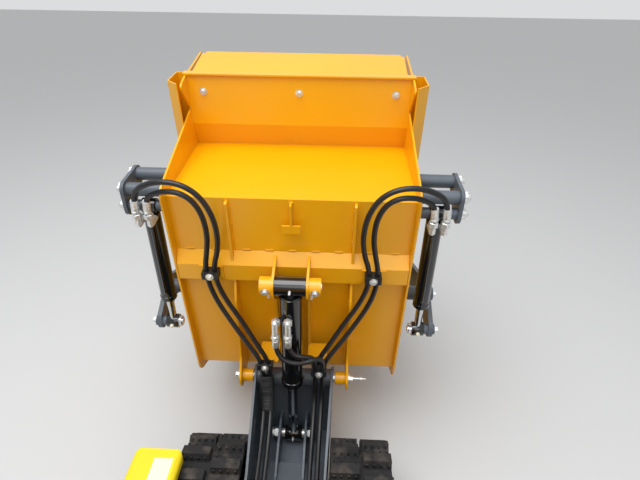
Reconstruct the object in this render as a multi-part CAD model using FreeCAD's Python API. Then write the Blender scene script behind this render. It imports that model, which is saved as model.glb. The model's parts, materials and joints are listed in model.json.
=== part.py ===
import FreeCAD, Part
import math
import os

# Tracked walk-behind site dumper with a self-loading shovel, in millimetres.
# It is drawn as it parks: skip tipped fully forward, its underside facing the operator.
# +Y is forward, +Z is up and +X is the operator's right. Lengths along the machine are
# first set out from the skip's hinge line, then the middle of the whole length goes to Y = 0.

Vec = FreeCAD.Vector
PARTS_FOLDER = "parts"

# Clearances
seat_gap = 0.3            # between a piece and what carries it
pin_clearance = 0.05      # radial, pin in its bore
side_play = 1.0           # beside an eye in its fork
hose_grip = 0.3           # radial, hose in its clamp

# Tracks
chassis_rear_y = -1400.0
track_width = 185.0
track_inner_x = 136.0
belt_thickness = 20.0
lug_height = 25.0
lug_root = 42.0
lug_top = 32.0
lug_groove = 13.0
lug_pitch = 74.8
wheel_centre_z = 175.0
belt_outer_radius = wheel_centre_z - lug_height
wheel_radius = belt_outer_radius - belt_thickness - seat_gap
front_wheel_y = -315.0
rear_wheel_y = chassis_rear_y + 135
track_mid_x = track_inner_x + track_width / 2
wheel_width = 62.0
roller_radius = 42.0
roller_count = 4
carrier_radius = 28.0
axle_radius = 17.0
beam_half = 30.0
beam_low = 142.0
beam_high = 222.0
cheek_plate = 8.0

# Chassis
hinge_z = 370.0
chassis_plate = 8.0
chassis_half_rear = 124.0
chassis_half_front = 139.0
chassis_taper_y = -320.0
chassis_bottom_z = 102.0
chassis_waist_z = 290.0
hinge_head_radius = 38.0
hinge_tube_radius = 30.0
hinge_pin_radius = 15.0
rib_half = 42.0
rib_plate = 8.0
cross_beam_height = 60.0
cross_beam_length = 90.0
cross_beam_ys = (-980.0, -600.0)
deck_z = 362.0
deck_plate = 8.0
deck_half = 300.0
deck_front_y = -685.0
bulkhead_y = -662.0
lashing_bore = 12.0
lashing_plate = 12.0
lashing_x = 250.0

# Skip, set out level as it travels: u forward and w up from its rear bottom edge
tip_angle = 85.0
hinge_u = 681.0
hinge_w = -92.0
skip_floor_length = 725.0
skip_half = 360.0
skip_sheet = 5.0
side_plate = 6.0
rail_sheet = 4.0
rear_wall_height = 372.0
front_wall_run = 205.0
front_wall_rise = 450.0
channel_u = 187.0
channel_depth = 30.0
channel_leaf = 4.0
ear_x = 182.0
ear_plate = 8.0
ear_radius = 38.0
cheek_x = 48.0
cheek_thick = 8.0

# Tipping cylinder
lower_pin_y = -71.0
lower_pin_z = 150.0
upper_pin_u = 246.0
upper_pin_w = -94.0
tip_barrel_radius = 35.0
tip_bore_radius = 29.0
tip_rod_radius = 17.5
tip_pin_radius = 15.0
tip_base_eye_radius = 30.0
tip_rod_eye_radius = 26.0
tip_rod_eye_half = 30.0
tip_barrel_length = 395.0
tip_piston_rest = 278.0
tip_port_along = 104.0
tip_port_end = 175.0

# Shovel and its side cylinders, set out with the skip
arm_pivot_u = 440.0
arm_pivot_w = 105.0
arm_rest_angle = 60.0
arm_plate = 15.0
lever_u = 490.0
lever_w = -20.0
side_pin_u = 45.0
side_pin_w = 20.0
side_axis_out = 54.0
arm_plate_out = 35.0
hub_plate_out = 58.0
side_axis_x = skip_half + side_plate + side_axis_out
arm_plate_x = side_axis_x + arm_plate_out
side_barrel_radius = 25.0
side_bore_radius = 20.5
side_rod_radius = 12.5
side_pin_radius = 12.0
side_eye_radius = 23.0
side_eye_width = 40.0
side_barrel_length = 345.0
side_piston_rest = 190.0
shovel_half = arm_plate_x - seat_gap
shovel_heel_along = 760.0
shovel_heel_drop = 120.0
shovel_floor = 320.0
shovel_back = 260.0
shovel_sheet = 8.0
shovel_tilt = 37.0

# Hub brackets at the skip's rear corners
hub_upper = (-9.0, 114.0)
hub_lower = (-4.0, 28.0)
hub_tube_radius = 20.0
hub_bolt_radius = 10.0
hub_plate_x = side_axis_x + hub_plate_out
hub_plate = 10.0
nut_radius = 15.0
nut_height = 14.0

# Operator's end
cowl_half = 290.0
cowl_rear_y = chassis_rear_y + 10
cowl_front_y = -795.0
cowl_top_z = 940.0
cowl_low_top_z = 700.0
cowl_wall = 4.0
cowl_step_back = 180.0
console_half = 230.0
console_rise = 75.0
lever_radius = 6.0
bar_radius = 13.0
bar_half = 250.0
bar_top_z = 1120.0
bar_y = cowl_rear_y - 50
bar_corner = 70.0
step_half = 230.0
step_length = 270.0
step_hinge_y = chassis_rear_y - 52
step_z = 165.0
step_pin_radius = 8.0
tank_front_y = -317.0
tank_rear_y = -625.0
tank_top_z = 400.0

# Hoses
hose_radius = 8.0
upper_clamp_u = 240.0
upper_clamp_w = -53.0
lower_clamp_u = 565.0
lower_clamp_w = -137.0
tip_hose_w = lower_clamp_w - 18.0


def place_polygon(points, plane):
    """Corners (a, b, radius) of a closed outline, turned into lines and arcs in a plane."""
    count = len(points)
    edges = []
    starts = []
    ends = []
    for i, (a, b, radius) in enumerate(points):
        here = Vec(a, b, 0)
        before = Vec(*points[i - 1][:2], 0)
        after = Vec(*points[(i + 1) % count][:2], 0)
        into = (here - before).normalize()
        out = (after - here).normalize()
        turn = math.acos(max(-1.0, min(1.0, into.dot(out))))
        if radius <= 0 or turn < 0.01:
            starts.append(here)
            ends.append((here, None))
            continue
        cut = radius * math.tan(turn / 2)
        first = here - into * cut
        last = here + out * cut
        middle = here + (out - into).normalize() * (radius / math.cos(turn / 2) - radius)
        starts.append(first)
        ends.append((last, middle))
    for i in range(count):
        last, middle = ends[i]
        if middle is not None:
            edges.append(Part.Arc(plane(starts[i]), plane(middle), plane(last)).toShape())
        nxt = starts[(i + 1) % count]
        if (nxt - last).Length > 1e-6:
            edges.append(Part.LineSegment(plane(last), plane(nxt)).toShape())
    return Part.Face(Part.Wire(edges))


def slab_x(points, x0, x1):
    """Outline in (y, z), drawn out from x0 to x1."""
    face = place_polygon(points, lambda p: Vec(x0, p.x, p.y))
    return face.extrude(Vec(x1 - x0, 0, 0))


def slab_y(points, y0, y1):
    """Outline in (x, z), drawn out from y0 to y1."""
    face = place_polygon(points, lambda p: Vec(p.x, y0, p.y))
    return face.extrude(Vec(0, y1 - y0, 0))


def slab_z(points, z0, z1):
    """Outline in (x, y), drawn out from z0 to z1."""
    face = place_polygon(points, lambda p: Vec(p.x, p.y, z0))
    return face.extrude(Vec(0, 0, z1 - z0))


def box(x0, y0, z0, x1, y1, z1):
    return Part.makeBox(x1 - x0, y1 - y0, z1 - z0, Vec(x0, y0, z0))


def bar_x(y, z, radius, x0, x1):
    return Part.makeCylinder(radius, x1 - x0, Vec(x0, y, z), Vec(1, 0, 0))


def tube_x(y, z, outer, inner, x0, x1):
    return bar_x(y, z, outer, x0, x1).cut(bar_x(y, z, inner, x0 - 1, x1 + 1))


def rod(start, end, radius):
    start, end = Vec(*start), Vec(*end)
    return Part.makeCylinder(radius, (end - start).Length, start, end - start)


def mirrored(shape):
    return shape.mirror(Vec(0, 0, 0), Vec(1, 0, 0))


def both_sides(shape):
    return Part.makeCompound([shape, mirrored(shape)])


def fuse(shapes):
    first, rest = shapes[0], shapes[1:]
    return first.multiFuse(rest).removeSplitter() if rest else first


def sheet(line, thickness):
    """A bent sheet's outline: the line itself and its offset to the left."""
    count = len(line)
    offset = []
    for i, (a, b) in enumerate(line):
        here = Vec(a, b, 0)
        into = (here - Vec(*line[i - 1], 0)).normalize() if i else None
        out = (Vec(*line[i + 1], 0) - here).normalize() if i < count - 1 else None
        along = [d for d in (into, out) if d is not None]
        normals = [Vec(-d.y, d.x, 0) for d in along]
        total = normals[0] if len(normals) == 1 else normals[0] + normals[1]
        total.normalize()
        reach = thickness / total.dot(normals[0])
        offset.append((here.x + total.x * reach, here.y + total.y * reach, 0))
    return [(a, b, 0) for a, b in line] + offset[::-1]


def hose(points, radius):
    """A tube through the route's points: straight runs joined by tangent arcs."""
    spots = [Vec(*p) for p in points]
    edges = []
    radii = []
    last = spots[0]
    for i in range(1, len(spots) - 1):
        before, here, after = spots[i - 1:i + 2]
        into, out = here - before, after - here
        run = min(into.Length, out.Length)
        into.normalize()
        out.normalize()
        turn = math.acos(max(-1.0, min(1.0, into.dot(out))))
        bend = 0.45 * run / math.tan(turn / 2)
        cut = 0.45 * run
        radii.append(bend)
        first, final = here - into * cut, here + out * cut
        middle = here + (out - into).normalize() * (bend / math.cos(turn / 2) - bend)
        edges.append(Part.LineSegment(last, first).toShape())
        edges.append(Part.Arc(first, middle, final).toShape())
        last = final
    edges.append(Part.LineSegment(last, spots[-1]).toShape())
    path = Part.Wire(edges)
    ring = Part.Wire(Part.Circle(spots[0], spots[1] - spots[0], radius).toShape())
    tube = path.makePipeShell([ring], True, False)
    print("hose length %.0f, least bend %.0f, volume ratio %.4f"
          % (path.Length, min(radii), tube.Volume / (math.pi * radius ** 2 * path.Length)))
    return tube


def tipped(shape):
    """From the level travelling place to the parked one: turned forward about the hinge."""
    turned = shape.copy()
    turned.rotate(Vec(0, 0, 0), Vec(1, 0, 0), -tip_angle)
    turned.translate(Vec(0, 0, hinge_z))
    return turned


def skip_point(u, w):
    """Level (y, z), from the hinge line, of a point given in the skip's own u and w."""
    return u - hinge_u, w - hinge_w


def skip_rows(rows):
    """An outline given in (u, w, radius), as level (y, z, radius)."""
    return [(*skip_point(u, w), radius) for u, w, radius in rows]


def turned_point(y, z, angle):
    c, s = math.cos(math.radians(angle)), math.sin(math.radians(angle))
    return y * c - z * s, y * s + z * c


# Tracks

def loop_station(distance):
    """Place and heading at a distance along the belt's outer face, from the lower rear."""
    run = front_wheel_y - rear_wheel_y
    arc = math.pi * belt_outer_radius
    distance %= 2 * (run + arc)
    if distance < run:
        return rear_wheel_y + distance, lug_height, 0.0
    distance -= run
    if distance < arc:
        angle = distance / belt_outer_radius
        return (front_wheel_y + belt_outer_radius * math.sin(angle),
                wheel_centre_z - belt_outer_radius * math.cos(angle), math.degrees(angle))
    distance -= arc
    if distance < run:
        return front_wheel_y - distance, wheel_centre_z + belt_outer_radius, 180.0
    angle = (distance - run) / belt_outer_radius
    return (rear_wheel_y - belt_outer_radius * math.sin(angle),
            wheel_centre_z + belt_outer_radius * math.cos(angle), 180 + math.degrees(angle))


def oval(radius, x0, x1):
    y0, y1, z = rear_wheel_y, front_wheel_y, wheel_centre_z
    top = Part.LineSegment(Vec(x0, y1, z + radius), Vec(x0, y0, z + radius)).toShape()
    rear = Part.Arc(Vec(x0, y0, z + radius), Vec(x0, y0 - radius, z), Vec(x0, y0, z - radius)).toShape()
    low = Part.LineSegment(Vec(x0, y0, z - radius), Vec(x0, y1, z - radius)).toShape()
    front = Part.Arc(Vec(x0, y1, z - radius), Vec(x0, y1 + radius, z), Vec(x0, y1, z + radius)).toShape()
    return Part.Face(Part.Wire([top, rear, low, front])).extrude(Vec(x1 - x0, 0, 0))




def lug(x0, x1, height):
    """One tapered lug, its root sunk in a belt whose outer face is at z = 0."""
    root, top = lug_root / 2, lug_top / 2
    rows = [(-root, 3.0, 0), (-root, 0.0, 0), (-top, -height, 0), (top, -height, 0), (root, 0.0, 0), (root, 3.0, 0)]
    return slab_x(rows, x0, x1)


def track():
    """Belt and its two staggered rows of lugs, as one fixed loop."""
    x0, x1 = track_inner_x, track_inner_x + track_width
    belt = oval(belt_outer_radius, x0, x1).cut(oval(belt_outer_radius - belt_thickness, x0 - 1, x1 + 1))
    length = 2 * (front_wheel_y - rear_wheel_y) + 2 * math.pi * belt_outer_radius
    count = int(length // lug_pitch)
    pitch = length / count
    # on the bends the lugs' corners stay on the circle that touches the ground
    bent_height = math.sqrt(wheel_centre_z ** 2 - (lug_top / 2) ** 2) - belt_outer_radius
    middle = (x0 + x1) / 2
    lugs = []
    # x from, x to, share of a pitch that the row is ahead
    for row_x0, row_x1, ahead in ((x0, middle - lug_groove / 2, 0.0), (middle + lug_groove / 2, x1, 0.5)):
        for i in range(count):
            y, z, heading = loop_station((i + ahead + 0.1) * pitch)
            height = lug_height if heading in (0.0, 180.0) else bent_height
            shape = lug(row_x0, row_x1, height)
            shape.rotate(Vec(0, 0, 0), Vec(1, 0, 0), heading)
            shape.translate(Vec(0, y, z))
            lugs.append(shape)
    return belt.multiFuse(lugs)


def wheel(y, recess):
    """A disc wheel with a turned recess each side and a bore for its axle."""
    x0, x1 = track_mid_x - wheel_width / 2, track_mid_x + wheel_width / 2
    disc = bar_x(y, wheel_centre_z, wheel_radius, x0, x1)
    for side_x in (x0, x1 - recess):
        ring = tube_x(y, wheel_centre_z, wheel_radius - 20, axle_radius + 22, side_x, side_x + recess)
        disc = disc.cut(ring)
    return disc.cut(bar_x(y, wheel_centre_z, axle_radius + seat_gap, x0 - 1, x1 + 1))


def sprocket():
    """Driven rear wheel with round notches between its teeth."""
    teeth = 11
    notches = []
    for i in range(teeth):
        angle = 2 * math.pi * (i + 0.5) / teeth
        y = rear_wheel_y + (wheel_radius + 4) * math.cos(angle)
        z = wheel_centre_z + (wheel_radius + 4) * math.sin(angle)
        notches.append(bar_x(y, z, 15, track_mid_x - wheel_width, track_mid_x + wheel_width))
    return wheel(rear_wheel_y, 14).cut(Part.makeCompound(notches))


def roller_stations():
    step = (front_wheel_y - rear_wheel_y) / (roller_count + 1)
    return [rear_wheel_y + step * (i + 1) for i in range(roller_count)]


def roller_z():
    return lug_height + belt_thickness + seat_gap + roller_radius


def carrier_place():
    """(y, z) of the single roller that carries the upper run."""
    z = wheel_centre_z + belt_outer_radius - belt_thickness - seat_gap - carrier_radius
    return (front_wheel_y + rear_wheel_y) / 2, z


def rollers():
    x0, x1 = track_mid_x - wheel_width / 2, track_mid_x + wheel_width / 2
    shapes = [tube_x(y, roller_z(), roller_radius, 10 + seat_gap, x0, x1) for y in roller_stations()]
    shapes.append(tube_x(*carrier_place(), carrier_radius, 10 + seat_gap, x0, x1))
    return Part.makeCompound(shapes)


def track_frame():
    """Box beam inside the loop with wheel cheeks, axles, roller hangers and shafts."""
    x0, x1 = track_mid_x - beam_half, track_mid_x + beam_half
    reach = wheel_radius + 12
    cheek = wheel_width / 2 + 2
    pieces = [box(x0, rear_wheel_y + reach, beam_low, x1, front_wheel_y - reach, beam_high)]
    for wheel_y, way in ((rear_wheel_y, 1), (front_wheel_y, -1)):
        half = cheek + cheek_plate
        pieces.append(bar_x(wheel_y, wheel_centre_z, axle_radius, track_mid_x - half, track_mid_x + half))
        root, tip = wheel_y + way * (reach + 60), wheel_y - way * 4
        rows = [(root, beam_low + 8, 0), (tip, beam_low + 4, 26), (tip - way * 24, wheel_centre_z, 20),
                (tip, beam_high - 12, 26), (root, beam_high - 8, 0)]
        low, high = sorted((wheel_y + way * (reach + 4), root))
        pieces.append(box(track_mid_x - half, low, beam_low + 10, track_mid_x + half, high, beam_high - 10))
        for a in (track_mid_x - half, track_mid_x + cheek):
            pieces.append(slab_x(rows, a, a + cheek_plate))
    z = roller_z()
    carrier_y, carrier_z = carrier_place()
    # y, shaft's z, hanger's root z, half width at the root
    hangers = [(y, z, beam_low + 20, 26) for y in roller_stations()]
    hangers.append((carrier_y, carrier_z, beam_high - 20, 30))
    for y, shaft_z, root_z, root_half in hangers:
        end = 15 if root_z > shaft_z else -15
        pieces.append(bar_x(y, shaft_z, 10, track_mid_x - cheek - 6, track_mid_x + cheek + 6))
        rows = [(y - 15, shaft_z - end, 7), (y + 15, shaft_z - end, 7), (y + root_half, root_z, 0), (y - root_half, root_z, 0)]
        for side in (-1, 1):
            a, b = sorted((track_mid_x + side * cheek, track_mid_x + side * (cheek + 6)))
            pieces.append(slab_x(rows, a, b))
        low, high = sorted((root_z, root_z + (8 if end > 0 else -8)))
        pieces.append(box(track_mid_x - cheek - 6, y - root_half + 4, low - 6, track_mid_x + cheek + 6, y + root_half - 4, high))
    return fuse(pieces)


def drive_motor():
    """Travel motor between a chassis side and its sprocket: flange, body and hub."""
    inner = chassis_half_rear + seat_gap
    outer = track_mid_x - wheel_width / 2 - 2 - cheek_plate - seat_gap
    body = bar_x(rear_wheel_y, wheel_centre_z, 50, inner, outer)
    flange = bar_x(rear_wheel_y, wheel_centre_z, 62, inner, inner + 10)
    return fuse([body, flange])


# Chassis

def inner_edge(y):
    """Inner face of a chassis side plate at a place along the machine."""
    share = max(0.0, min(1.0, (y - chassis_taper_y) / -chassis_taper_y))
    return chassis_half_rear - chassis_plate + share * (chassis_half_front - chassis_half_rear)


def chassis_side():
    """One side plate: straight beside the tracks, spread ahead of them, round at the hinge."""
    top = hinge_z + hinge_head_radius - 2
    outline = [(chassis_rear_y, chassis_bottom_z, 30), (-30.0, chassis_bottom_z, 20), (hinge_head_radius - 6, hinge_z - 20, 0),
               (10.0, hinge_z, 0), (-12.0, top, 0), (-350.0, chassis_waist_z, 60), (-600.0, chassis_waist_z, 50),
               (deck_front_y + 5, deck_z, 30), (chassis_rear_y, deck_z, 0)]
    x0, x1 = chassis_half_rear - chassis_plate - 2, chassis_half_front + 4
    profile = fuse([slab_x(outline, x0, x1), bar_x(0, hinge_z, hinge_head_radius, x0, x1)])
    end_y = hinge_head_radius + 10
    end_x = chassis_half_front + end_y * (chassis_half_front - chassis_half_rear) / -chassis_taper_y
    plan = sheet([(chassis_half_rear, chassis_rear_y - 1), (chassis_half_rear, chassis_taper_y),
                  (end_x, end_y)], chassis_plate)
    plate = profile.common(slab_z(plan, chassis_bottom_z - 1, hinge_z + 100))
    slot = [(-155.0, 278.0, 6.9), (-115.0, 278.0, 6.9), (-115.0, 292.0, 6.9), (-155.0, 292.0, 6.9)]
    return plate.cut(slab_x(slot, x0 - 10, x1 + 10))


def chassis_frame():
    side = chassis_side()
    pieces = [side, mirrored(side)]
    front = -24.0
    low, high = chassis_bottom_z, chassis_bottom_z + 8
    in_rear, in_front = inner_edge(chassis_taper_y) + 2, inner_edge(front) + 2
    pieces.append(slab_z([(-in_rear, chassis_rear_y + 10, 0), (in_rear, chassis_rear_y + 10, 0), (in_rear, chassis_taper_y, 0),
                          (in_front, front - 2, 0), (-in_front, front - 2, 0), (-in_rear, chassis_taper_y, 0)], low, high))
    nose = [(2.0, hinge_z - 26, 0), (10.0, hinge_z - 32, 0), (front + 2, low, 0), (front - 6, low, 0)]
    pieces.append(slab_x(nose, -in_front, in_front))
    # inner ribs run beside the cylinder and carry its lower pin
    rib = slab_x([(-440.0, low + 4, 0), (-440.0, 150.0, 0), (-250.0, 165.0, 0), (-150.0, 200.0, 30), (-60.0, 215.0, 20),
                  (front + 10, 200.0, 0), (front, low + 4, 0)], rib_half, rib_half + rib_plate)
    boss = bar_x(lower_pin_y, lower_pin_z, 22, rib_half + rib_plate - 1, rib_half + rib_plate + 22)
    pieces += [rib, mirrored(rib), boss, mirrored(boss)]
    tube_half = inner_edge(0) + chassis_plate - 1
    pieces.append(bar_x(0, hinge_z, hinge_tube_radius, -tube_half, tube_half))
    # y from, y to, z from, z to: cross plates inside the channel
    for y0, y1, z0, z1 in ((-255.0, -187.0, 142.0, 150.0), (-255.0, -247.0, low + 4, 150.0), (-440.0, -432.0, low + 4, 230.0),
                           (bulkhead_y - 8, bulkhead_y, low + 4, 300.0), (chassis_rear_y, chassis_rear_y + 8, low + 4, deck_z - 4)):
        half = inner_edge((y0 + y1) / 2) + 2
        pieces.append(box(-half, y0, z0, half, y1, z1))
    half = track_mid_x - beam_half - seat_gap
    z0 = (beam_low + beam_high - cross_beam_height) / 2
    for y in cross_beam_ys:
        pieces.append(box(-half, y - cross_beam_length / 2, z0, half, y + cross_beam_length / 2, z0 + cross_beam_height))
    # the step's hinge ears
    ear = slab_x([(chassis_rear_y + 4, step_z - 40, 0), (step_hinge_y - 14, step_z - 14, 13),
                  (step_hinge_y - 14, step_z + 14, 13), (chassis_rear_y + 4, step_z + 40, 0)], 98.0, 108.0)
    pieces += [ear, mirrored(ear)]
    frame = fuse(pieces)
    holes = [bar_x(0, hinge_z, hinge_pin_radius + pin_clearance, -200, 200),
             bar_x(lower_pin_y, lower_pin_z, tip_pin_radius + pin_clearance, -100, 100),
             bar_x(step_hinge_y, step_z, step_pin_radius + pin_clearance, -130, 130)]
    return frame.cut(Part.makeCompound(holes))


def deck():
    """Plate over the chassis and tracks, with a lashing eye at each rear corner."""
    plate = box(-deck_half, chassis_rear_y - 5, deck_z, deck_half, deck_front_y, deck_z + deck_plate)
    y0, y1 = chassis_rear_y - 5, chassis_rear_y - 60
    eye = slab_x([(y0 + 4, deck_z - 24, 0), (y0 + 4, deck_z + 40, 0), (y1, deck_z + 40, 24), (y1, deck_z - 12, 24)],
                 lashing_x, lashing_x + lashing_plate)
    body = fuse([plate, eye, mirrored(eye)])
    return body.cut(bar_x(chassis_rear_y - 35, deck_z + 14, lashing_bore, -lashing_x - 30, lashing_x + 30))


def cylinder_pin():
    """Both ends of the tipping cylinder's lower pin, headed outside each boss."""
    reach = rib_half + rib_plate + 22
    start = tip_rod_eye_half + side_play
    pin = bar_x(lower_pin_y, lower_pin_z, tip_pin_radius, start, reach + 4)
    head = bar_x(lower_pin_y, lower_pin_z, 19, reach + seat_gap, reach + 5)
    return both_sides(fuse([pin, head]))


# Operator's end

def engine_block():
    z0 = deck_z + deck_plate
    rear, front = cowl_rear_y, cowl_front_y - cowl_step_back - 25
    length = front - rear - 90
    body = box(-170, rear + 60, z0, 170, front - 30, z0 + 300)
    head = box(-120, rear + 60 + length / 10, z0 + 299, 120, front - 30 - length / 7.5, z0 + 400)
    return fuse([body, head])


def cowl():
    """Bent-sheet cover over engine and oil tank, open below, with louvre slots."""
    z0 = deck_z + deck_plate + seat_gap
    rear, front, t = cowl_rear_y, cowl_front_y, cowl_wall
    step_y = front - cowl_step_back
    outer = [(rear, z0, 0), (front, z0, 0), (front, cowl_low_top_z, 50), (step_y, cowl_low_top_z + 25, 20),
             (step_y - 25, cowl_top_z, 40), (rear, cowl_top_z, 40)]
    inner = [(rear + t, z0 - 1, 0), (front - t, z0 - 1, 0), (front - t, cowl_low_top_z - t, 46),
             (step_y - t, cowl_low_top_z + 25 - t, 24), (step_y - 25 - t, cowl_top_z - t, 36), (rear + t, cowl_top_z - t, 36)]
    shell = slab_x(outer, -cowl_half, cowl_half).cut(slab_x(inner, -cowl_half + t, cowl_half - t))
    slots = []
    for i in range(7):
        z = z0 + 120 + 34 * i
        slots.append(box(-cowl_half - 5, rear + 60, z, cowl_half + 5, rear + 250, z + 11))
    return shell.cut(Part.makeCompound(slots))


def console():
    """Control desk on the cowl's flat top."""
    z0 = cowl_top_z + seat_gap
    rear = cowl_rear_y + 45
    return slab_x([(rear, z0, 0), (rear + 170, z0, 0), (rear + 165, z0 + 18, 8), (rear + 60, z0 + console_rise, 16),
                   (rear, z0 + console_rise - 15, 10)], -console_half, console_half)


# x, how far the handle bends sideways
lever_rows = ((-165.0, 0.0), (-58.0, 40.0), (58.0, -40.0), (165.0, 0.0))


def lever_line(x, bend):
    y = cowl_rear_y + 75
    z = cowl_top_z + console_rise - 8
    return (x, y, z), (x, y - 22, z + 60), (x + bend, y - 52, z + 130)


def lever_rod(x, bend, radius):
    foot, knee, top = lever_line(x, bend)
    return fuse([rod(foot, knee, radius), Part.makeSphere(radius, Vec(*knee)), rod(knee, top, radius)])


def levers():
    return Part.makeCompound([lever_rod(x, bend, lever_radius) for x, bend in lever_rows])


def lever_grips():
    """Turned knobs, thicker towards the rounded top."""
    grips = []
    for x, bend in lever_rows:
        knee, top = (Vec(*p) for p in lever_line(x, bend)[1:])
        axis = (top - knee).normalize()
        knob = fuse([Part.makeCone(10, 16, 52), Part.makeSphere(16, Vec(0, 0, 52))])
        knob = knob.cut(Part.makeCylinder(lever_radius + pin_clearance, 14, Vec(0, 0, -1)))
        knob.Placement = FreeCAD.Placement(top - axis * 13, FreeCAD.Rotation(Vec(0, 0, 1), axis))
        grips.append(knob)
    return Part.makeCompound(grips)


def console_with_holes():
    return console().cut(Part.makeCompound([lever_rod(x, bend, lever_radius + seat_gap) for x, bend in lever_rows]))


def guard_bar():
    """U-shaped hand bar behind the levers, on feet against the cowl's rear."""
    z0, c, w = 680.0, bar_corner, bar_half
    y = bar_y
    path = Part.Wire([
        Part.LineSegment(Vec(-w, y, z0), Vec(-w, y, bar_top_z - c)).toShape(),
        Part.Arc(Vec(-w, y, bar_top_z - c), Vec(-w + c * (1 - math.sqrt(0.5)), y, bar_top_z - c * (1 - math.sqrt(0.5))),
                 Vec(-w + c, y, bar_top_z)).toShape(),
        Part.LineSegment(Vec(-w + c, y, bar_top_z), Vec(w - c, y, bar_top_z)).toShape(),
        Part.Arc(Vec(w - c, y, bar_top_z), Vec(w - c * (1 - math.sqrt(0.5)), y, bar_top_z - c * (1 - math.sqrt(0.5))),
                 Vec(w, y, bar_top_z - c)).toShape(),
        Part.LineSegment(Vec(w, y, bar_top_z - c), Vec(w, y, z0)).toShape()])
    ring = Part.Wire(Part.Circle(Vec(-w, y, z0), Vec(0, 0, 1), bar_radius).toShape())
    pieces = [path.makePipeShell([ring], True, False)]
    for z in (z0 + 30, z0 + 150):
        foot = fuse([rod((w, y, z), (w, cowl_rear_y - seat_gap, z), 9),
                     rod((w, cowl_rear_y - 6, z), (w, cowl_rear_y - seat_gap, z), 22)])
        pieces += [foot, mirrored(foot)]
    return fuse(pieces)


def fuel_tank():
    """Moulded tank hung outside the left track, its lip over the belt."""
    outer = track_inner_x + track_width + 124
    lip = wheel_centre_z * 2 + 12
    body = slab_y([(-outer, 220, 22), (-outer + 110, 220, 14), (-outer + 110, lip, 5), (-lashing_x - 50, lip, 8),
                   (-lashing_x - 50, tank_top_z, 16), (-outer, tank_top_z, 22)], tank_rear_y, tank_front_y)
    ends = [(-outer - 1, tank_rear_y - 1, 0), (-lashing_x - 40, tank_rear_y - 1, 0), (-lashing_x - 40, tank_front_y + 1, 0),
            (-outer - 1, tank_front_y + 1, 0)]
    inset = [(-outer, tank_rear_y, 24), (-lashing_x - 50, tank_rear_y, 20), (-lashing_x - 50, tank_front_y, 20),
             (-outer, tank_front_y, 24)]
    body = body.cut(slab_z(ends, 200, 430).cut(slab_z(inset, 200, 430)))
    neck = Part.makeCylinder(21, 3, cap_place(tank_top_z - 1))
    return fuse([body, neck])


def cap_place(z):
    return Vec(-track_inner_x - track_width - 90, tank_front_y - 205, z)


def fuel_cap():
    """Screw cap with finger hollows."""
    cap = Part.makeCylinder(25, 16, cap_place(tank_top_z + 2 + seat_gap))
    hollows = []
    for i in range(8):
        angle = 2 * math.pi * i / 8
        at = cap_place(tank_top_z) + Vec(27 * math.cos(angle), 27 * math.sin(angle), 0)
        hollows.append(Part.makeCylinder(4.5, 30, at))
    return cap.cut(Part.makeCompound(hollows))


def tank_bracket():
    """Shelf under the side tank on two arms from the left track frame."""
    z1 = 220.0 - seat_gap
    z0 = z1 - 14.7
    outer = track_inner_x + track_width
    shelf = box(-outer - 124, tank_rear_y + 25, z1 - 6, -outer - 16, tank_front_y - 25, z1)
    cheek_outer = track_mid_x + wheel_width / 2 + 2 + cheek_plate
    beam_outer = track_mid_x + beam_half
    rear_y, front_y = tank_rear_y + 25, tank_front_y - 93
    rear_arm = box(-outer - 109, rear_y, z0, -beam_outer - seat_gap, rear_y + 40, z1 - 5)
    front_arm = box(-outer - 109, front_y - 40, z0, -cheek_outer - seat_gap, front_y, z1 - 5)
    return fuse([shelf, rear_arm, front_arm])


def step():
    """Folding operator's step: tread plate, rims and two hinge arms."""
    front = step_hinge_y - 20
    rear = front - step_length
    top = step_z - 7
    pieces = [box(-step_half, rear, top - 6, step_half, front, top), box(-step_half, rear, top - 30, step_half, rear + 6, top - 1)]
    for x in (step_half - 6, -step_half):
        pieces.append(box(x, rear, top - 30, x + 6, front, top - 1))
    for x in (108.0 + side_play, -108.0 - side_play - 10):
        pieces.append(slab_x([(front - 150, top - 28, 0), (front, top - 28, 0), (step_hinge_y + 12, step_z - 12, 11),
                              (step_hinge_y + 12, step_z + 12, 11), (front + 10, step_z + 12, 8), (front - 30, top - 1, 0),
                              (front - 150, top - 1, 0)], x, x + 10))
    board = fuse(pieces)
    return board.cut(bar_x(step_hinge_y, step_z, step_pin_radius + pin_clearance, -140, 140))


def step_pins():
    pin = fuse([bar_x(step_hinge_y, step_z, step_pin_radius, 92, 124),
                bar_x(step_hinge_y, step_z, 13, 119 + 2 * side_play, 126)])
    return both_sides(pin)


# Skip, level as it travels

def skip_shell():
    """One bent sheet for ledge, rear wall, floor and front wall, between two side plates."""
    line = [(-237.0, 358.0), (-80.0, 346.0), (0.0, rear_wall_height), (0.0, 0.0), (skip_floor_length, 0.0),
            (skip_floor_length + front_wall_run, front_wall_rise)]
    rows = skip_rows(sheet(line, skip_sheet))
    body = slab_x(rows, -skip_half - 1, skip_half + 1)
    nose_u = skip_floor_length
    # u, w, corner radius: the plate stands proud of the floor and carries a lobe under the ledge
    outline = [(-30.0, -32.0, 40), (nose_u + 20, -32.0, 55), (nose_u + 113, 131.0, 40), (nose_u + 181, 353.0, 0),
               (nose_u + front_wall_run + 2, front_wall_rise + 5, 8), (-258.0, 572.0, 8), (-237.0, 385.0, 0),
               (-236.5, 352.0, 0), (-220.0, 282.0, 14), (-128.0, 352.0, 5)]
    plate = slab_x(skip_rows(outline), skip_half, skip_half + side_plate)
    y, z = skip_point(nose_u + front_wall_run, front_wall_rise)
    lip = bar_x(y - 6, z - 4, 9, -skip_half - 1, skip_half + 1)
    return fuse([body, plate, mirrored(plate), lip])


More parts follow.
